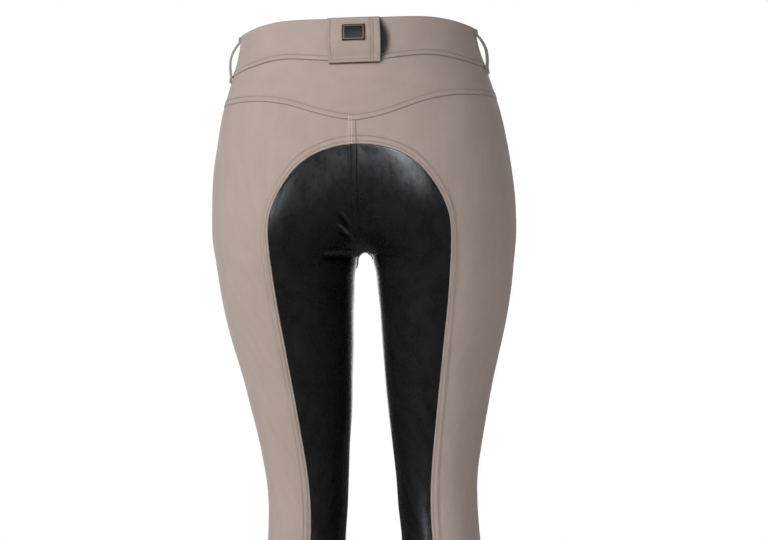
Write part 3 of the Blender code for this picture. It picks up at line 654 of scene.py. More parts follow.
def lap(distance, width, lift, rows):
    """A lapped edge, at each distance from it: a raised strip with a groove under each row of sewing."""
    height = lift * soft(1 + (width - distance) / LAP_FALL)
    for row in rows:
        height = height - GROOVE_DEPTH * np.exp(-(((distance - row) / GROOVE_HALF) ** 2))
    return height


def edge_drop(distance):
    """How far the outer face falls at a rounded edge."""
    inside = np.clip(EDGE_ROUND - distance, 0, EDGE_ROUND)
    return EDGE_ROUND - np.sqrt(EDGE_ROUND**2 - inside**2)


def puckers(distance, along, height, phase):
    wave = sum(
        share * np.sin(2 * math.pi * along / length + start + phase)
        for length, share, start in PUCKER_WAVES
    )
    return height * wave * np.exp(-distance / PUCKER_REACH) * soft(distance / PUCKER_START)


def drift(points):
    """The cloth's slow unevenness, which differs on the two sides."""
    total = sum(
        np.sin(points[..., 0] * a + points[..., 1] * b + points[..., 2] * c + start)
        for a, b, c, start in DRIFT_WAVES
    )
    return DRIFT_HEIGHT * total / math.sqrt(len(DRIFT_WAVES))


def crease_path(row):
    """The points of a crease on the surface."""
    side, x1, z1, x2, z2, bow, _, _ = row
    share = np.linspace(0, 1, CREASE_POINTS)
    aside = bow * np.sin(math.pi * share)
    length = math.hypot(x2 - x1, z2 - z1)
    x = x1 + (x2 - x1) * share - aside * (z2 - z1) / length
    z = z1 + (z2 - z1) * share + aside * (x2 - x1) / length
    return body_surface(x, z, side)


def creases(points):
    """The height of all creases at each point, and which parts of the grid they reach."""
    height = np.zeros(points.shape[:-1])
    for row in CREASES:
        half, high = row[CREASE_COLUMNS.index("half_width")], row[CREASE_COLUMNS.index("height")]
        path = crease_path(row)
        middle = path.mean(axis=0)
        reach = np.linalg.norm(path - middle, axis=1).max() + CREASE_REACH * half
        near = np.linalg.norm(points - middle, axis=-1) < reach
        if not near.any():
            continue
        gap = points[near][:, None] - path[None]
        distance = np.linalg.norm(gap, axis=-1)
        nearest = distance.argmin(axis=1)
        share = nearest / (CREASE_POINTS - 1)
        away = distance[np.arange(len(nearest)), nearest]
        beside = np.sign(gap[np.arange(len(nearest)), nearest, 2]) * away
        fade = soft(share / CREASE_FADE) * soft((1 - share) / CREASE_FADE)
        shoulder = (beside - SHOULDER_AWAY * half) / (SHOULDER_WIDTH * half)
        height[near] += high * fade * (
            np.exp(-((away / half) ** 2)) + SHOULDER_SHARE * np.exp(-(shoulder**2))
        )
    return height


def relief(points, laps, rounded=ALL_EDGES, phase=0.0, pucker="panel", drifting=1.0):
    """A panel's outer face at each point: its height, how much painted shade its seams and sewing put on it,
    how far its edge is, and how much of the height is a crease's."""
    across, down = lengths(points, 1), lengths(points, 0)
    away = {
        "left": (across, down),
        "right": (across[:, -1:] - across, down),
        "top": (down, across),
        "bottom": (down[-1:] - down, across),
    }
    edge = np.min([away[key][0] for key in rounded], axis=0) + SEAM_GAP / 2
    fold = creases(points) * soft(edge / CREASE_CALM)
    height = drifting * drift(points) * soft(edge / CALM_WIDTH) - edge_drop(edge) + fold
    shade = EDGE_SHADE * np.exp(-((edge / EDGE_SHADE_HALF) ** 2))
    for number, key in enumerate(rounded):
        distance, along = away[key]
        distance = distance + SEAM_GAP / 2
        height = height + puckers(distance, along, PUCKER_HEIGHTS[pucker], phase + number)
        if key in laps:
            width, lift, rows, end_z = laps[key]
            keep = soft((points[..., 2] - end_z) / LAP_ENDS_OVER)
            height = height + lap(distance, width, lift, rows) * keep
            for row in rows:
                shade = np.maximum(shade, keep * np.exp(-(((distance - row) / ROW_SHADE_HALF) ** 2)))
    return {"height": height, "painted_seam_shade": shade, "edge": edge, "fold": fold}


# Meshes.

def wall_faces(rows, columns, ring):
    """The quads of a closed wall whose outer grid's points come first and whose inner grid's follow."""
    out = np.arange(rows * columns).reshape(rows, columns)
    if ring:
        out = np.concatenate([out, out[:, :1]], axis=1)
    inn = out + rows * columns
    quads = [
        np.stack([out[:-1, :-1], out[:-1, 1:], out[1:, 1:], out[1:, :-1]], axis=-1),
        np.stack([inn[:-1, :-1], inn[1:, :-1], inn[1:, 1:], inn[:-1, 1:]], axis=-1),
        np.stack([out[0, 1:], out[0, :-1], inn[0, :-1], inn[0, 1:]], axis=-1),
        np.stack([out[-1, :-1], out[-1, 1:], inn[-1, 1:], inn[-1, :-1]], axis=-1),
    ]
    if not ring:
        quads.append(np.stack([out[:-1, 0], out[1:, 0], inn[1:, 0], inn[:-1, 0]], axis=-1))
        quads.append(np.stack([out[1:, -1], out[:-1, -1], inn[:-1, -1], inn[1:, -1]], axis=-1))
    return np.concatenate([quad.reshape(-1, 4) for quad in quads])


def add_mesh(name, points, faces, material):
    """A piece from its points in millimetres. It rides on the garment's one body."""
    data = bpy.data.meshes.new(name)
    data.from_pydata((points * MM).tolist(), [], [list(face) for face in faces])
    data.shade_smooth()
    data.set_sharp_from_angle(angle=SHARP_ANGLE)
    data.materials.append(material)
    obj = bpy.data.objects.new(name, data)
    bpy.context.scene.collection.objects.link(obj)
    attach(obj, "root")
    return obj


def add_attribute(obj, name, values, inside=1):
    """One value or vector a point of the outer grid. The inner grid's points have it times inside."""
    kind, key = ("FLOAT_VECTOR", "vector") if values.ndim == 3 else ("FLOAT", "value")
    attribute = obj.data.attributes.new(name, kind, "POINT")
    attribute.data.foreach_set(key, np.concatenate([values, values * inside]).ravel().astype(np.float32))


def add_cloth(node, points, normals, thickness, finish, laps=None, steps=EDGE_STEPS, ring=False, **options):
    """The fine wall that stands for a CAD node, with its relief and the sewing of its laps.

    It returns the outer grid as built. finish is the material, its slot, which is not used, and the thread.
    """
    material, slot, thread = finish
    laps = laps or {}
    if ring:
        options["rounded"] = ("top", "bottom")
    made = relief(points, laps, **options)
    outer = points + normals * made.pop("height")[..., None]
    faces = wall_faces(*points.shape[:2], ring)
    a, b, c, _ = outer.reshape(-1, 3)[faces[len(faces) // 4]]
    if np.dot(np.cross(b - a, c - a), normals.reshape(-1, 3)[faces[len(faces) // 4][0]]) < 0:
        faces = faces[:, ::-1]
    both = np.concatenate([outer, outer - normals * thickness]).reshape(-1, 3)
    obj = add_mesh(node + "_cloth", both, faces, material)
    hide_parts(node)

    across, down = lengths(points, 1), lengths(points, 0)
    add_attribute(obj, "cloth", np.stack([across, -down, np.zeros_like(down)], axis=-1))
    for name, values in made.items():
        add_attribute(obj, name, values)
    # The back loop's painted shadow, on the outer face only.
    add_attribute(obj, "painted_loop_shadow", painted_loop_shadow(points), inside=0)

    rows = lap_rows(outer, normals, laps, steps, ring)
    if rows:
        add_sewing(node + "_sewing", rows, thread)
    return outer


# Sewing.

def spokes(count, aside, up):
    """count unit vectors round each point of a path, from its two directions across."""
    angle = np.arange(count) * 2 * math.pi / count
    return np.cos(angle)[:, None] * aside[..., None, :] + np.sin(angle)[:, None] * up[..., None, :]


def ring_faces(rings, sides):
    """The quads between rings of points that follow one another."""
    start = (np.arange(rings - 1) * sides)[:, None]
    here = np.arange(sides)
    there = (here + 1) % sides
    quads = [start + here, start + there, start + sides + there, start + sides + here]
    return np.stack(quads, axis=-1).reshape(-1, 4)


def add_sewing(name, rows, material, size=1.0):
    """One piece with the stitches along rows of (points, normals). Their open ends lie inside the cloth."""
    rows_of_stitches = []
    for points, normals in rows:
        along = line_lengths(points)
        centres = np.arange(ROW_START * STITCH_PITCH, along[-1] - ROW_STOP * STITCH_PITCH, STITCH_PITCH)
        rings = []
        for offset, rise, girth in STITCH_STATIONS:
            at = centres + offset * STITCH_LENGTH
            up = read(normals, along, at)
            way = unit(read(points, along, at + WAY_STEP) - read(points, along, at - WAY_STEP))
            middle = read(points, along, at) + up * rise
            radius = THREAD_RADIUS * size * girth
            rings.append(middle[:, None] + radius * spokes(STITCH_SIDES, np.cross(up, way), up))
        rows_of_stitches.append(np.concatenate(rings, axis=1))
    stitches = np.concatenate(rows_of_stitches)
    starts = np.arange(len(stitches)) * stitches.shape[1]
    faces = ring_faces(len(STITCH_STATIONS), STITCH_SIDES) + starts[:, None, None]
    return add_mesh(name, stitches.reshape(-1, 3), faces.reshape(-1, 4), material)


def row_of(outer, normals, edge, distance, steps=EDGE_STEPS):
    """The row of points of a built grid that lies at one of the steps from an edge."""
    k = steps.index(distance)
    take = {
        "left": (slice(None), k), "right": (slice(None), -1 - k), "top": (k,), "bottom": (-1 - k,),
    }[edge]
    return outer[take], normals[take]


def lap_rows(outer, normals, laps, steps, ring):
    """The rows of sewing of a piece's laps, each down to where its lap ends."""
    rows = []
    for edge, (_, _, distances, end_z) in laps.items():
        for distance in distances:
            line, up = row_of(outer, normals, edge, distance, steps)
            keep = line[:, 2] > end_z
            line, up = line[keep], up[keep]
            if ring:
                line, up = np.concatenate([line, line[:1]]), np.concatenate([up, up[:1]])
            rows.append((line, up))
    return rows


# The pieces.

CUFF_Z = HEM_Z + CUFF_HEIGHT
YOKE_CORNER_Z = YOKE_SEAM[-1][1]
BAND_BACK_Z, BAND_SIDE_Z, BAND_FRONT_Z = (dict(BAND_SEAM)[share] for share in (-1, 0, 1))
BAND_FRONT_TOP_Z = BAND_TOP[-1][1]


def halves(stem, right):
    """The right piece of a pair and its mirror image, each as node, is_left, points, normals and phase."""
    for side, phase in zip(("right", "left"), PHASES.get(stem, (0.0, 0.0))):
        points = right if side == "right" else right * MIRROR
        yield stem + "_" + side, side == "left", points, normal_at(points), phase


def add_waistband(finish):
    top, seam = (
        joined(round_seam(table, -1, 0, COUNTS["torso"]), round_seam(table, 0, 1, COUNTS["front"]))
        for table in (BAND_TOP, BAND_SEAM)
    )
    places = between(
        top=top,
        bottom=seam,
        left=middle_edge(-1, top[0, 1], seam[0, 1], COUNTS["band"]),
        right=middle_edge(1, top[-1, 1], seam[-1, 1], COUNTS["band"]),
    )
    points = both_halves(fine(places, across=(PLAIN, EDGE_STEPS), down=(BAND_TOP_STEPS, EDGE_STEPS)))
    normals = normal_at(points)
    points = points + normals * BAND_PROUD
    laps = {"bottom": BAND_LAP}
    add_cloth("waistband", points, normals, BAND_THICKNESS, finish, laps, pucker="waistband")


def add_yoke(finish):
    places = between(
        top=round_seam(BAND_SEAM, -1, 0, COUNTS["torso"]),
        bottom=round_seam(YOKE_SEAM, -1, 0, COUNTS["torso"]),
        left=middle_edge(-1, BAND_BACK_Z, YOKE_SEAM[0][1], COUNTS["yoke"]),
        right=side_seam(BAND_SIDE_Z, YOKE_CORNER_Z, COUNTS["yoke"]),
    )
    points = both_halves(fine(places, across=(PLAIN, EDGE_STEPS)))
    add_cloth("back_yoke", points, normal_at(points), PANEL_THICKNESS, finish, {"bottom": YOKE_LAP})


def cream_end(row):
    """Where a row of the centre-back sewing runs on over the yoke's lap."""
    width, lift, _, _ = YOKE_LAP
    z = np.linspace(YOKE_SEAM[0][1] - CREAM_BELOW, YOKE_SEAM[0][1] + width, CREAM_POINTS)
    ground = body_surface(-row, z, -1)
    normals = normal_at(ground)
    return ground + normals * lift, normals


def add_backs(finish, cream):
    inner = joined(seat_edge(ARCH_TOP_Z, SHOULDER_Z, COUNTS["torso"]), to_cuff(seat_edge, SHOULDER_Z))
    outer_edge = joined(round_seam(YOKE_SEAM, -1, 0, COUNTS["torso"]), to_cuff(side_seam, YOKE_CORNER_Z))
    right = fine(between(
        top=middle_edge(-1, ARCH_TOP_Z, YOKE_SEAM[0][1], COUNTS["back"]),
        bottom=np.linspace(inner[-1], outer_edge[-1], COUNTS["back"] + 1),
        left=inner,
        right=outer_edge,
    ))
    for node, is_left, points, normals, phase in halves("back", right):
        laps = {"left": SEAT_LAP, "bottom": CUFF_LAP}
        if is_left:
            laps["top"] = CENTRE_LAP
        outer = add_cloth(node, points, normals, PANEL_THICKNESS, finish, laps, phase=phase)
        if is_left:
            rows = [row_of(outer, normals, "top", row) for row in CENTRE_SEWING]
            rows += [cream_end(row) for row in CENTRE_SEWING]
            add_sewing("centre_back_sewing", rows, cream, CREAM_SIZE)


def add_seats(finish):
    under = inseam(CUFF_Z, COUNTS["leg"])
    under[:, 0] -= 360
    outer_edge = to_cuff(seat_edge, SHOULDER_Z)
    right = unfolded(fine(between(
        top=seat_edge(ARCH_TOP_Z, SHOULDER_Z, COUNTS["torso"]),
        bottom=np.linspace(under[-1], outer_edge[-1], COUNTS["torso"] + 1),
        left=joined(middle_seam(-1, ARCH_TOP_Z, COUNTS["rise"]), under),
        right=outer_edge,
    )))
    for node, is_left, points, normals, phase in halves("seat", right):
        laps = {"bottom": CUFF_LAP}
        if is_left:
            laps["left"] = SEAT_CENTRE_LAP
        options = {"phase": phase, "pucker": "seat", "drifting": SEAT_DRIFT}
        add_cloth(node, points, normals, SEAT_THICKNESS, finish, laps, **options)


def add_fronts(finish):
    under = inseam(CUFF_Z, COUNTS["leg"])
    right = fine(between(
        top=round_seam(BAND_SEAM, 0, 1, COUNTS["front"]),
        bottom=np.linspace([0, CUFF_Z], under[-1], COUNTS["front"] + 1),
        left=joined(
            side_seam(BAND_SIDE_Z, YOKE_CORNER_Z, COUNTS["yoke"]), to_cuff(side_seam, YOKE_CORNER_Z),
        ),
        right=joined(middle_seam(1, BAND_FRONT_Z, COUNTS["yoke"] + COUNTS["rise"]), under),
    ))
    for node, _, points, normals, phase in halves("front", right):
        add_cloth(node, points, normals, PANEL_THICKNESS, finish, {"bottom": CUFF_LAP}, phase=phase)


def add_inseam_rolls(material):
    """The ends of the inseams, a thin roll down from the crotch on each leg that thins out at its ends."""
    for side, length in INSEAM_ROLLS:
        z = np.linspace(CROTCH_Z - ROLL_START, CROTCH_Z - length, ROLL_LINES)
        ground = leg_surface(curve(INSEAM, z), z)
        up = normal_at(ground)
        middle = ground + up * ROLL_RISE
        aside = np.cross(up, unit(np.gradient(middle, axis=0)))
        girth = np.sqrt(np.sin(np.linspace(ROLL_TIP, math.pi - ROLL_TIP, ROLL_LINES)))[:, None, None]
        around = girth * spokes(ROLL_SIDES, aside, up)
        points = np.concatenate([middle[:, None] + radius * around for radius in ROLL_RADII]).reshape(-1, 3)
        faces = wall_faces(ROLL_LINES, ROLL_SIDES, ring=True)
        if side == "left":
            points, faces = points * MIRROR, faces[:, ::-1]
        add_mesh("inseam_roll_" + side, points, faces, material)


def add_cuffs(finish):
    """The stretch bands round the lower legs."""
    turns = np.linspace(-180, 180, CUFF_COLUMNS, endpoint=False)
    z = CUFF_Z - stations(CUFF_HEIGHT, EDGE_STEPS, HEM_STEPS, round(CUFF_HEIGHT / PITCH))[:, None]
    options = {"laps": {"bottom": HEM_LAP}, "steps": HEM_STEPS, "ring": True}
    for node, _, points, normals, phase in halves("cuff", leg_surface(turns, z)):
        add_cloth(node, points, normals, CUFF_THICKNESS, finish, phase=phase, **options)


def loop_rise(share, bow):
    """How far a loop's outer face stands off the figure, at a share of its length."""
    free = np.clip((share - LOOP_SEWN) / (1 - 2 * LOOP_SEWN), 0, 1)
    return BAND_PROUD + LAID_GAP + LOOP_THICKNESS + bow * np.sin(math.pi * free) ** LOOP_FULLNESS


def add_narrow_loops(name, sizes, finish, dark):
    """A pair of narrow belt loops, each sewn along both sides and tacked across both ends."""
    turn, width, top, bottom, bow = sizes
    share = stations(top - bottom, STRIP_STEPS, STRIP_STEPS, LOOP_LINES) / (top - bottom)
    z = top + (bottom - top) * share
    middle = leg_surface(turn, z)
    way = normal_at(middle)
    along_waist = unit(np.stack([-way[:, 1], way[:, 0], np.zeros_like(z)], axis=1))
    step_in = BAND_PROUD * np.clip(1 - (z - bottom) / LOOP_STEP, 0, 1)
    middle = middle + way * (loop_rise(share, bow) - step_in)[:, None]
    aside = stations(width, STRIP_STEPS, STRIP_STEPS, LOOP_MIDDLE) - width / 2
    right = middle[:, None] + along_waist[:, None] * aside[None, :, None]
    _, slot, thread = finish
    for node, _, points, outward, _ in halves(name, right):
        normals = own_normals(points, outward)
        outer = add_cloth(node, points, normals, LOOP_THICKNESS, finish, pucker="narrow_loop")
        rows = [row_of(outer, normals, edge, LOOP_SEWING, STRIP_STEPS) for edge in ("left", "right")]
        add_sewing(node + "_sewing", rows, thread)
        tacks = [(outer[k, 1:-1], normals[k, 1:-1]) for k in TACK_LINES]
        add_sewing(node + "_tacks", tacks, dark)


def add_back_loop_and_label(finish, label_finish):
    length = BACK_LOOP_TOP - BACK_LOOP_BOTTOM

    def sheet(top, down, left, across, steps, middle):
        """The points and normals of a patch of the loop's outer face."""
        x = left + stations(across, steps, steps, middle[1])
        share = (top + stations(down, steps, steps, middle[0]) / length)[:, None]
        ground = body_surface(x, BACK_LOOP_TOP - length * share, -1)
        points = ground + normal_at(ground) * loop_rise(share, BACK_LOOP_BOW)[..., None]
        return points, own_normals(points, normal_at(points))

    middle = (BACK_LOOP_MIDDLE, BACK_LOOP_MIDDLE)
    points, normals = sheet(0, length, -BACK_LOOP_WIDTH / 2, BACK_LOOP_WIDTH, EDGE_STEPS, middle)
    add_cloth("back_loop", points, normals, LOOP_THICKNESS, finish, BACK_LOOP_LAPS, pucker="back_loop")

    first, last = (row / LOOP_ROWS for row in LABEL_ROWS)
    left, right = ((k / BACK_LOOP_COLUMNS - 0.5) * BACK_LOOP_WIDTH for k in LABEL_COLUMNS)
    points, normals = sheet(first, (last - first) * length, left, right - left, LABEL_STEPS, LABEL_MIDDLE)
    points = points + normals * (LAID_GAP + LABEL_THICKNESS)
    border = dict.fromkeys(ALL_EDGES, LABEL_LAP)
    add_cloth("label_patch", points, normals, LABEL_THICKNESS, label_finish, border, pucker="label")


def add_fly(finish):
    seam = round_seam(BAND_SEAM, 0, 1, CURVE_STEPS)
    seam_x = leg_surface(seam[:, 0], seam[:, 1])[::-1, 0]
    down = np.linspace(0, 1, FLY_LINES)[:, None]
    bend = np.clip((down - FLY_STRAIGHT) / (1 - FLY_STRAIGHT), 0, 1) * FLY_ROUND
    across = stations(FLY_WIDTH, STRIP_STEPS, EDGE_STEPS, FLY_MIDDLE) / FLY_WIDTH
    x = -FLY_OVERLAP + across * FLY_WIDTH * np.sqrt(1 - bend**2)
    top = np.interp(np.abs(x), seam_x, seam[::-1, 1]) - SEAM_GAP
    ground = body_surface(x, top + down * (BAND_FRONT_Z - FLY_LENGTH - top), 1)
    normals = normal_at(ground)
    points = ground + normals * (LAID_GAP + FLY_THICKNESS)
    add_cloth("fly", points, normals, FLY_THICKNESS, finish, {"right": FLY_LAP}, pucker="fly")


def add_tab_and_button(finish, dark, metal):
    x = TAB_SEWN - stations(TAB_SEWN + TAB_REACH, STRIP_STEPS, STRIP_STEPS, TAB_MIDDLE)
    bend = np.clip((TAB_ROUND - TAB_REACH - x) / TAB_ROUND, 0, 1) * TAB_BEND
    middle_z = (BAND_FRONT_TOP_Z + BAND_FRONT_Z) / 2
    half_height = (BAND_FRONT_TOP_Z - middle_z - TAB_MARGIN) * np.sqrt(1 - bend**2)
    rise = 1 - 2 * stations(1.0, TAB_STEPS, TAB_STEPS, TAB_MIDDLE)[:, None]
    z = middle_z + rise * half_height
    lift = BAND_PROUD + LAID_GAP + TAB_THICKNESS
    ground = body_surface(x, z, 1)
    normals = normal_at(ground)
    outer = add_cloth("waist_tab", ground + normals * lift, normals, TAB_THICKNESS, finish, pucker="tab")
    rows = [row_of(outer, normals, edge, TAB_SEWING, STRIP_STEPS) for edge in ("left", "right")]
    rows += [(outer[k], normals[k]) for k in (TAB_SEWN_LINE, -1 - TAB_SEWN_LINE)]
    _, slot, thread = finish
    add_sewing("waist_tab_sewing", rows, thread)

    rows = []
    turn = np.linspace(0, 2 * math.pi, BUTTONHOLE_POINTS)
    for offset in BUTTONHOLE_ROWS:
        hole_x = BUTTONHOLE_X + (BUTTONHOLE_HALF + offset) * np.cos(turn)
        hole_z = middle_z + (BUTTONHOLE_WIDTH / 2 + offset) * np.sin(turn)
        ground = body_surface(hole_x, hole_z, 1)
        up = normal_at(ground)
        rows.append((ground + up * lift, up))
    add_sewing("buttonhole_sewing", rows, dark)
    add_button(metal, middle_z, lift)


def add_button(metal, middle_z, lift):
    ground = body_surface(BUTTON_X, middle_z, 1)
    way = normal_at(ground)
    aside = unit(np.cross(way, (0, 0, 1)))
    around = spokes(BUTTON_SEGMENTS, aside, np.cross(aside, way))
    centre = ground + way * (lift + LAID_GAP)
    points = np.concatenate([centre + way * height + radius * around for radius, height in BUTTON_PROFILE])
    front, back = range(BUTTON_SEGMENTS)[::-1], range(len(points) - BUTTON_SEGMENTS, len(points))
    faces = [*ring_faces(len(BUTTON_PROFILE), BUTTON_SEGMENTS), front, back]
    obj = add_mesh("waist_button_metal", points, faces, metal)
    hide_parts("waist_button")


# Materials.

class Nodes:
    """The nodes of a material or a world, with short ways to add to them."""

    def __init__(self, owner, shader="Principled BSDF"):
        owner.use_nodes = True
        self.owner = owner
        self.tree = owner.node_tree
        self.shader = self.tree.nodes[shader]

    def put(self, socket, value):
        if isinstance(value, bpy.types.NodeSocket):
            self.tree.links.new(value, socket)
        else:
            socket.default_value = value

    def set(self, inputs, node=None):
        """Sets inputs by name, of a node or else of the shader."""
        node = node or self.shader
        for key, value in inputs.items():
            self.put(node.inputs[key], value)
        return node.outputs

    def add(self, kind, inputs=None, **settings):
        """A new node with its inputs and settings. It returns the node's outputs."""
        node = self.tree.nodes.new("ShaderNode" + kind)
        for key, value in settings.items():
            setattr(node, key, value)
        return self.set(inputs or {}, node)

    def attribute(self, name, output):
        return self.add("Attribute", attribute_name=name)[output]

    def position(self):
        return self.add("NewGeometry")["Position"]

    def math(self, operation, *values):
        return self.add("Math", dict(enumerate(values)), operation=operation)[0]

    def scaled(self, vector, scale):
        return self.add("VectorMath", {0: vector, 1: scale}, operation="MULTIPLY")[0]

    def noise(self, vector, scale=1.0, detail=2.0):
        return self.add("TexNoise", {"Vector": vector, "Scale": scale, "Detail": detail})["Fac"]

    def range(self, value, source, target):
        """A value moved from one range to another, and kept inside it."""
        (low, high), (new_low, new_high) = source, target
        ends = {"From Min": low, "From Max": high, "To Min": new_low, "To Max": new_high}
        return self.add("MapRange", {"Value": value, **ends})[0]

    def mix(self, share, first, second):
        outputs = self.add("Mix", data_type="RGBA")
        node = outputs[0].node
        colours = [socket for socket in node.inputs if socket.type == "RGBA"]
        self.put(next(socket for socket in node.inputs if socket.type == "VALUE"), share)
        self.put(colours[0], first)
        self.put(colours[1], second)
        return next(socket for socket in outputs if socket.type == "RGBA")

    def bump(self, height, distance, strength):
        return self.add("Bump", {"Height": height, "Distance": distance, "Strength": strength})["Normal"]


def new_material(name):
    return Nodes(bpy.data.materials.new(name))


def rgba(colour, tone=1.0):
    return (*(tone * value for value in colour), 1.0)


def twill(name, loop_shadow_colour=None):
    """Matte stretch cloth: a fine diagonal weave, a mottled yarn and a soft nap."""
    nodes = new_material(name)
    place = nodes.attribute("cloth", "Vector")
    yarn = nodes.noise(nodes.scaled(place, YARN_SCALE), detail=3.0)
    patches = nodes.noise(nodes.scaled(place, MOTTLE_SCALE), detail=3.0)
    tone = nodes.mix(nodes.range(patches, WIDE, FULL), rgba(TAUPE_DEEP), rgba(TAUPE_PALE))
    tone = nodes.mix(nodes.range(yarn, FLECK_RANGE, FLECK_SHARE), tone, rgba(TAUPE_FLECK))
    # Painted shade along the seams' edges and under rows of sewing.
    dark = nodes.math("MULTIPLY", nodes.attribute("painted_seam_shade", "Fac"), SEAM_DARKENS)
    tone = nodes.mix(dark, tone, rgba(TAUPE_DEEP, SEAM_TONE))
    # Painted shadow beside the back loop's tunnel and under its lower edge.
    if loop_shadow_colour:
        tone = nodes.mix(nodes.attribute("painted_loop_shadow", "Fac"), tone, rgba(loop_shadow_colour))
    turned = {"Vector": place, "Rotation": (0, 0, TWILL_SLOPE), "Scale": (TWILL_RIBS,) * 3}
    across = {"Vector": nodes.add("Mapping", turned)[0], "Scale": 1.0, "Distortion": TWILL_WAVER}
    ribs = nodes.add("TexWave", across, wave_type="BANDS", bands_direction="X")["Fac"]
    weave = nodes.math("ADD", nodes.math("MULTIPLY", ribs, TWILL_RIB_SHARE), yarn)
    nodes.set({**TWILL_FINISH, "Base Color": tone, "Normal": nodes.bump(weave, TWILL_RELIEF, strength=0.5)})
    return nodes.owner


def coated(name):
    """Smooth black coated cloth with a fine grain and an uneven sheen."""
    nodes = new_material(name)
    place = nodes.attribute("cloth", "Vector")
    grain = nodes.noise(place, scale=1.1, detail=1.0)
    wear = nodes.noise(nodes.scaled(place, WEAR_SCALE), detail=4.0)
    scuffs = nodes.noise(nodes.scaled(place, SCUFF_SCALE), detail=2.0)
    fine_wear = nodes.noise(place, scale=0.4, detail=3.0)
    fold, seam = (nodes.attribute(key, "Fac") for key in ("fold", "painted_seam_shade"))
    tone = nodes.mix(nodes.range(wear, NARROW, FULL), rgba(BLACK), rgba(BLACK_WORN))
    # A painted highlight along crease crests, and painted shade towards black in their troughs.
    tone = nodes.mix(nodes.range(fold, CREST_RANGE, FULL), tone, rgba(CREST_PAINTED_HIGHLIGHT))
    tone = nodes.mix(nodes.range(fold, TROUGH_RANGE, TROUGH_SHARE), tone, (0, 0, 0, 1))
    gloss = nodes.math(
        "ADD", nodes.range(wear, WIDE, COATED_ROUGHNESS), nodes.range(scuffs, NARROW, SCUFF_ROUGHNESS),
    )
    height = 0.0
    for part, share in ((grain, GRAIN_SHARE), (fine_wear, FINE_WEAR_SHARE), (scuffs, SCUFF_SHARE)):
        height = nodes.math("MULTIPLY_ADD", part, share, height)
    nodes.set({
        "Base Color": tone,
        "Roughness": gloss,
        # Where the painted seam shade lies, the reflection is cut down too.
        "Specular IOR Level": nodes.range(seam, SEAM_SHADE_RANGE, COATED_SPECULAR),
        "Normal": nodes.bump(height, GRAIN_RELIEF, strength=0.8),
    })
    return nodes.owner


def sewing_thread(name, colour):
    nodes = new_material(name)
    ply = nodes.noise(nodes.position(), scale=2600.0, detail=1.0)
    tone = nodes.mix(ply, rgba(colour, PLY_TONE), rgba(colour))
    nodes.set({"Base Color": tone, "Roughness": 0.6, "Sheen Weight": 0.1})
    return nodes.owner


def rubber_label(name):
    """A plain black patch with a thin dull-gold line near its edge."""
    nodes = new_material(name)
    line = nodes.math("COMPARE", nodes.attribute("edge", "Fac"), LABEL_BORDER_AT, LABEL_BORDER_HALF)
    fleck = nodes.noise(nodes.attribute("cloth", "Vector"), scale=1.4, detail=2.0)
    ground = nodes.mix(fleck, rgba(LABEL_BLACK), rgba(LABEL_BLACK, LABEL_FLECK_TONE))
    nodes.set({
        "Base Color": nodes.mix(line, ground, rgba(LABEL_BORDER)),
        "Roughness": nodes.range(fleck, WIDE, LABEL_ROUGHNESS),
        "Specular IOR Level": 0.2,
        "Normal": nodes.bump(fleck, LABEL_RELIEF, strength=0.5),
    })
    return nodes.owner


def dull_metal(name):
    nodes = new_material(name)
    wear = nodes.noise(nodes.position(), scale=260.0, detail=4.0)
    nodes.set({
        "Base Color": nodes.mix(wear, rgba(METAL), rgba(METAL, METAL_WORN_TONE)),
        "Metallic": 1.0,
        "Roughness": nodes.range(wear, WIDE, METAL_ROUGHNESS),
        "Normal": nodes.bump(wear, METAL_RELIEF, strength=0.4),
    })
    return nodes.owner


# The studio.

def add_panel(name, place, aim, size, energy, colour, lights, reflected):
    data = bpy.data.lights.new(name, "AREA")
    data.shape = "RECTANGLE"
    data.size, data.size_y = size
    data.energy, data.color = energy, colour
    light = bpy.data.objects.new(name, data)
    light.location = place
    light.rotation_euler = (Vector(aim) - Vector(place)).to_track_quat("-Z", "Y").to_euler()
    light.visible_camera = False
    light.visible_diffuse = lights
    light.visible_glossy = reflected
    bpy.context.scene.collection.objects.link(light)


def add_floor():
    nodes = new_material("pale_floor")
    place = nodes.position()
    away = nodes.add("VectorMath", {0: nodes.scaled(place, (1, 1, 0))}, operation="LENGTH")["Value"]
    dark, pale = FLOOR_GREYS
    nodes.set({
        "Base Color": nodes.mix(nodes.noise(place, scale=1.3, detail=3.0), rgba(dark), rgba(pale)),
        "Roughness": 0.9,
        # A painted glow: the floor emits more towards its rim.
        "Emission Color": (1, 1, 1, 1),
        "Emission Strength": nodes.range(away, FLOOR_GLOWS, FULL),
    })
    data = bpy.data.meshes.new("floor")
    turn = np.arange(FLOOR_SIDES) * 2 * math.pi / FLOOR_SIDES
    rim = [FLOOR_RADIUS * np.cos(turn), FLOOR_RADIUS * np.sin(turn), np.full(FLOOR_SIDES, HEM_Z * MM)]
    data.from_pydata(np.stack(rim, axis=1).tolist(), [], [list(range(FLOOR_SIDES))])
    data.materials.append(nodes.owner)
    floor = bpy.data.objects.new("floor", data)
    bpy.context.scene.collection.objects.link(floor)
    floor.visible_glossy = False


def add_world():
    """White behind the garment, and a dim even light on it."""
    nodes = Nodes(bpy.data.worlds.new("studio"), "Background")
    ray = nodes.add("LightPath")
    nodes.set({
        "Color": nodes.mix(ray["Is Camera Ray"], rgba(WORLD_LIGHT), (1, 1, 1, 1)),
        "Strength": nodes.range(ray["Is Glossy Ray"], FULL, (1, WORLD_REFLECTED)),
    })
    bpy.context.scene.world = nodes.owner


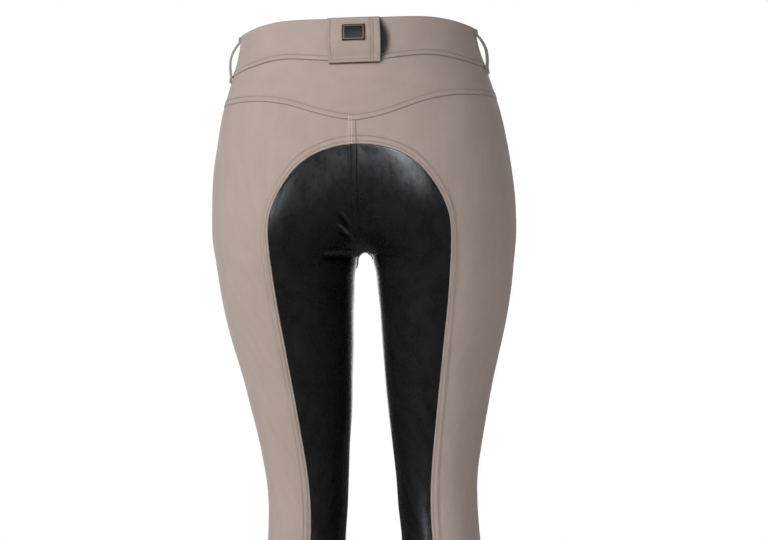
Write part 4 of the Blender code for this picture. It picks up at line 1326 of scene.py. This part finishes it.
def add_camera():
    data = bpy.data.cameras.new("camera")
    data.sensor_width = SENSOR_WIDTH
    data.lens = SENSOR_WIDTH * CAMERA_DISTANCE / (MM_PER_PIXEL * IMAGE_WIDTH)
    data.clip_end = 100
    camera = bpy.data.objects.new("camera", data)
    across = Vector((math.cos(CAMERA_AZIMUTH), math.sin(CAMERA_AZIMUTH), 0))
    back = Vector((math.sin(CAMERA_AZIMUTH), -math.cos(CAMERA_AZIMUTH), 0))
    place = back * CAMERA_DISTANCE + Vector((0, 0, CAMERA_Z))
    aim = across * CAMERA_ASIDE + Vector((0, 0, CAMERA_AIM_Z))
    turn = (aim - place).to_track_quat("-Z", "Y").to_matrix().to_4x4()
    camera.matrix_world = Matrix.Translation(place * MM) @ turn @ Matrix.Rotation(-CAMERA_ROLL, 4, "Z")
    bpy.context.scene.collection.objects.link(camera)
    bpy.context.scene.camera = camera


def add_studio():
    add_world()
    add_floor()
    for row in LIGHTS:
        add_panel(**dict(zip(LIGHT_COLUMNS, row)))
    add_camera()
    bpy.context.scene.view_settings.view_transform = "Standard"


def add_garment():
    thread, cream, black, dark = (
        sewing_thread(name, colour) for name, colour in (
            ("taupe_thread", TAUPE_THREAD), ("cream_thread", CREAM_THREAD), ("black_thread", BLACK_THREAD),
            ("tack_thread_and_roll_shade", TACK_THREAD_AND_ROLL_SHADE),
        )
    )
    # A copy of the twill that carries the back loop's painted shadow, for the waistband and the yoke.
    cloth, shaded = twill("taupe_twill"), twill("twill_painted_shadow", TAUPE_PAINTED_SHADOW)
    panel, strap = (cloth, "stretch_twill", thread), (cloth, "waistband_twill", thread)
    add_waistband((shaded, "waistband_twill", thread))
    add_yoke((shaded, "stretch_twill", thread))
    add_backs(panel, cream)
    add_seats((coated("black_coated"), "seat_leather", black))
    add_fronts(panel)
    # The inseam rolls take the dark tack colour as painted shade for the taupe fold in shadow under the
    # crotch.
    add_inseam_rolls(dark)
    add_cuffs(panel)
    add_narrow_loops("side_loop", SIDE_LOOP, strap, dark)
    add_narrow_loops("front_loop", FRONT_LOOP, strap, dark)
    add_back_loop_and_label(strap, (rubber_label("plain_label"), "label", None))
    add_fly(panel)
    add_tab_and_button(strap, dark, dull_metal("dull_metal"))


def corners(box):
    return [[float(value) for value in corner] for corner in box]


def main():
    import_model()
    add_garment()
    add_studio()


main()
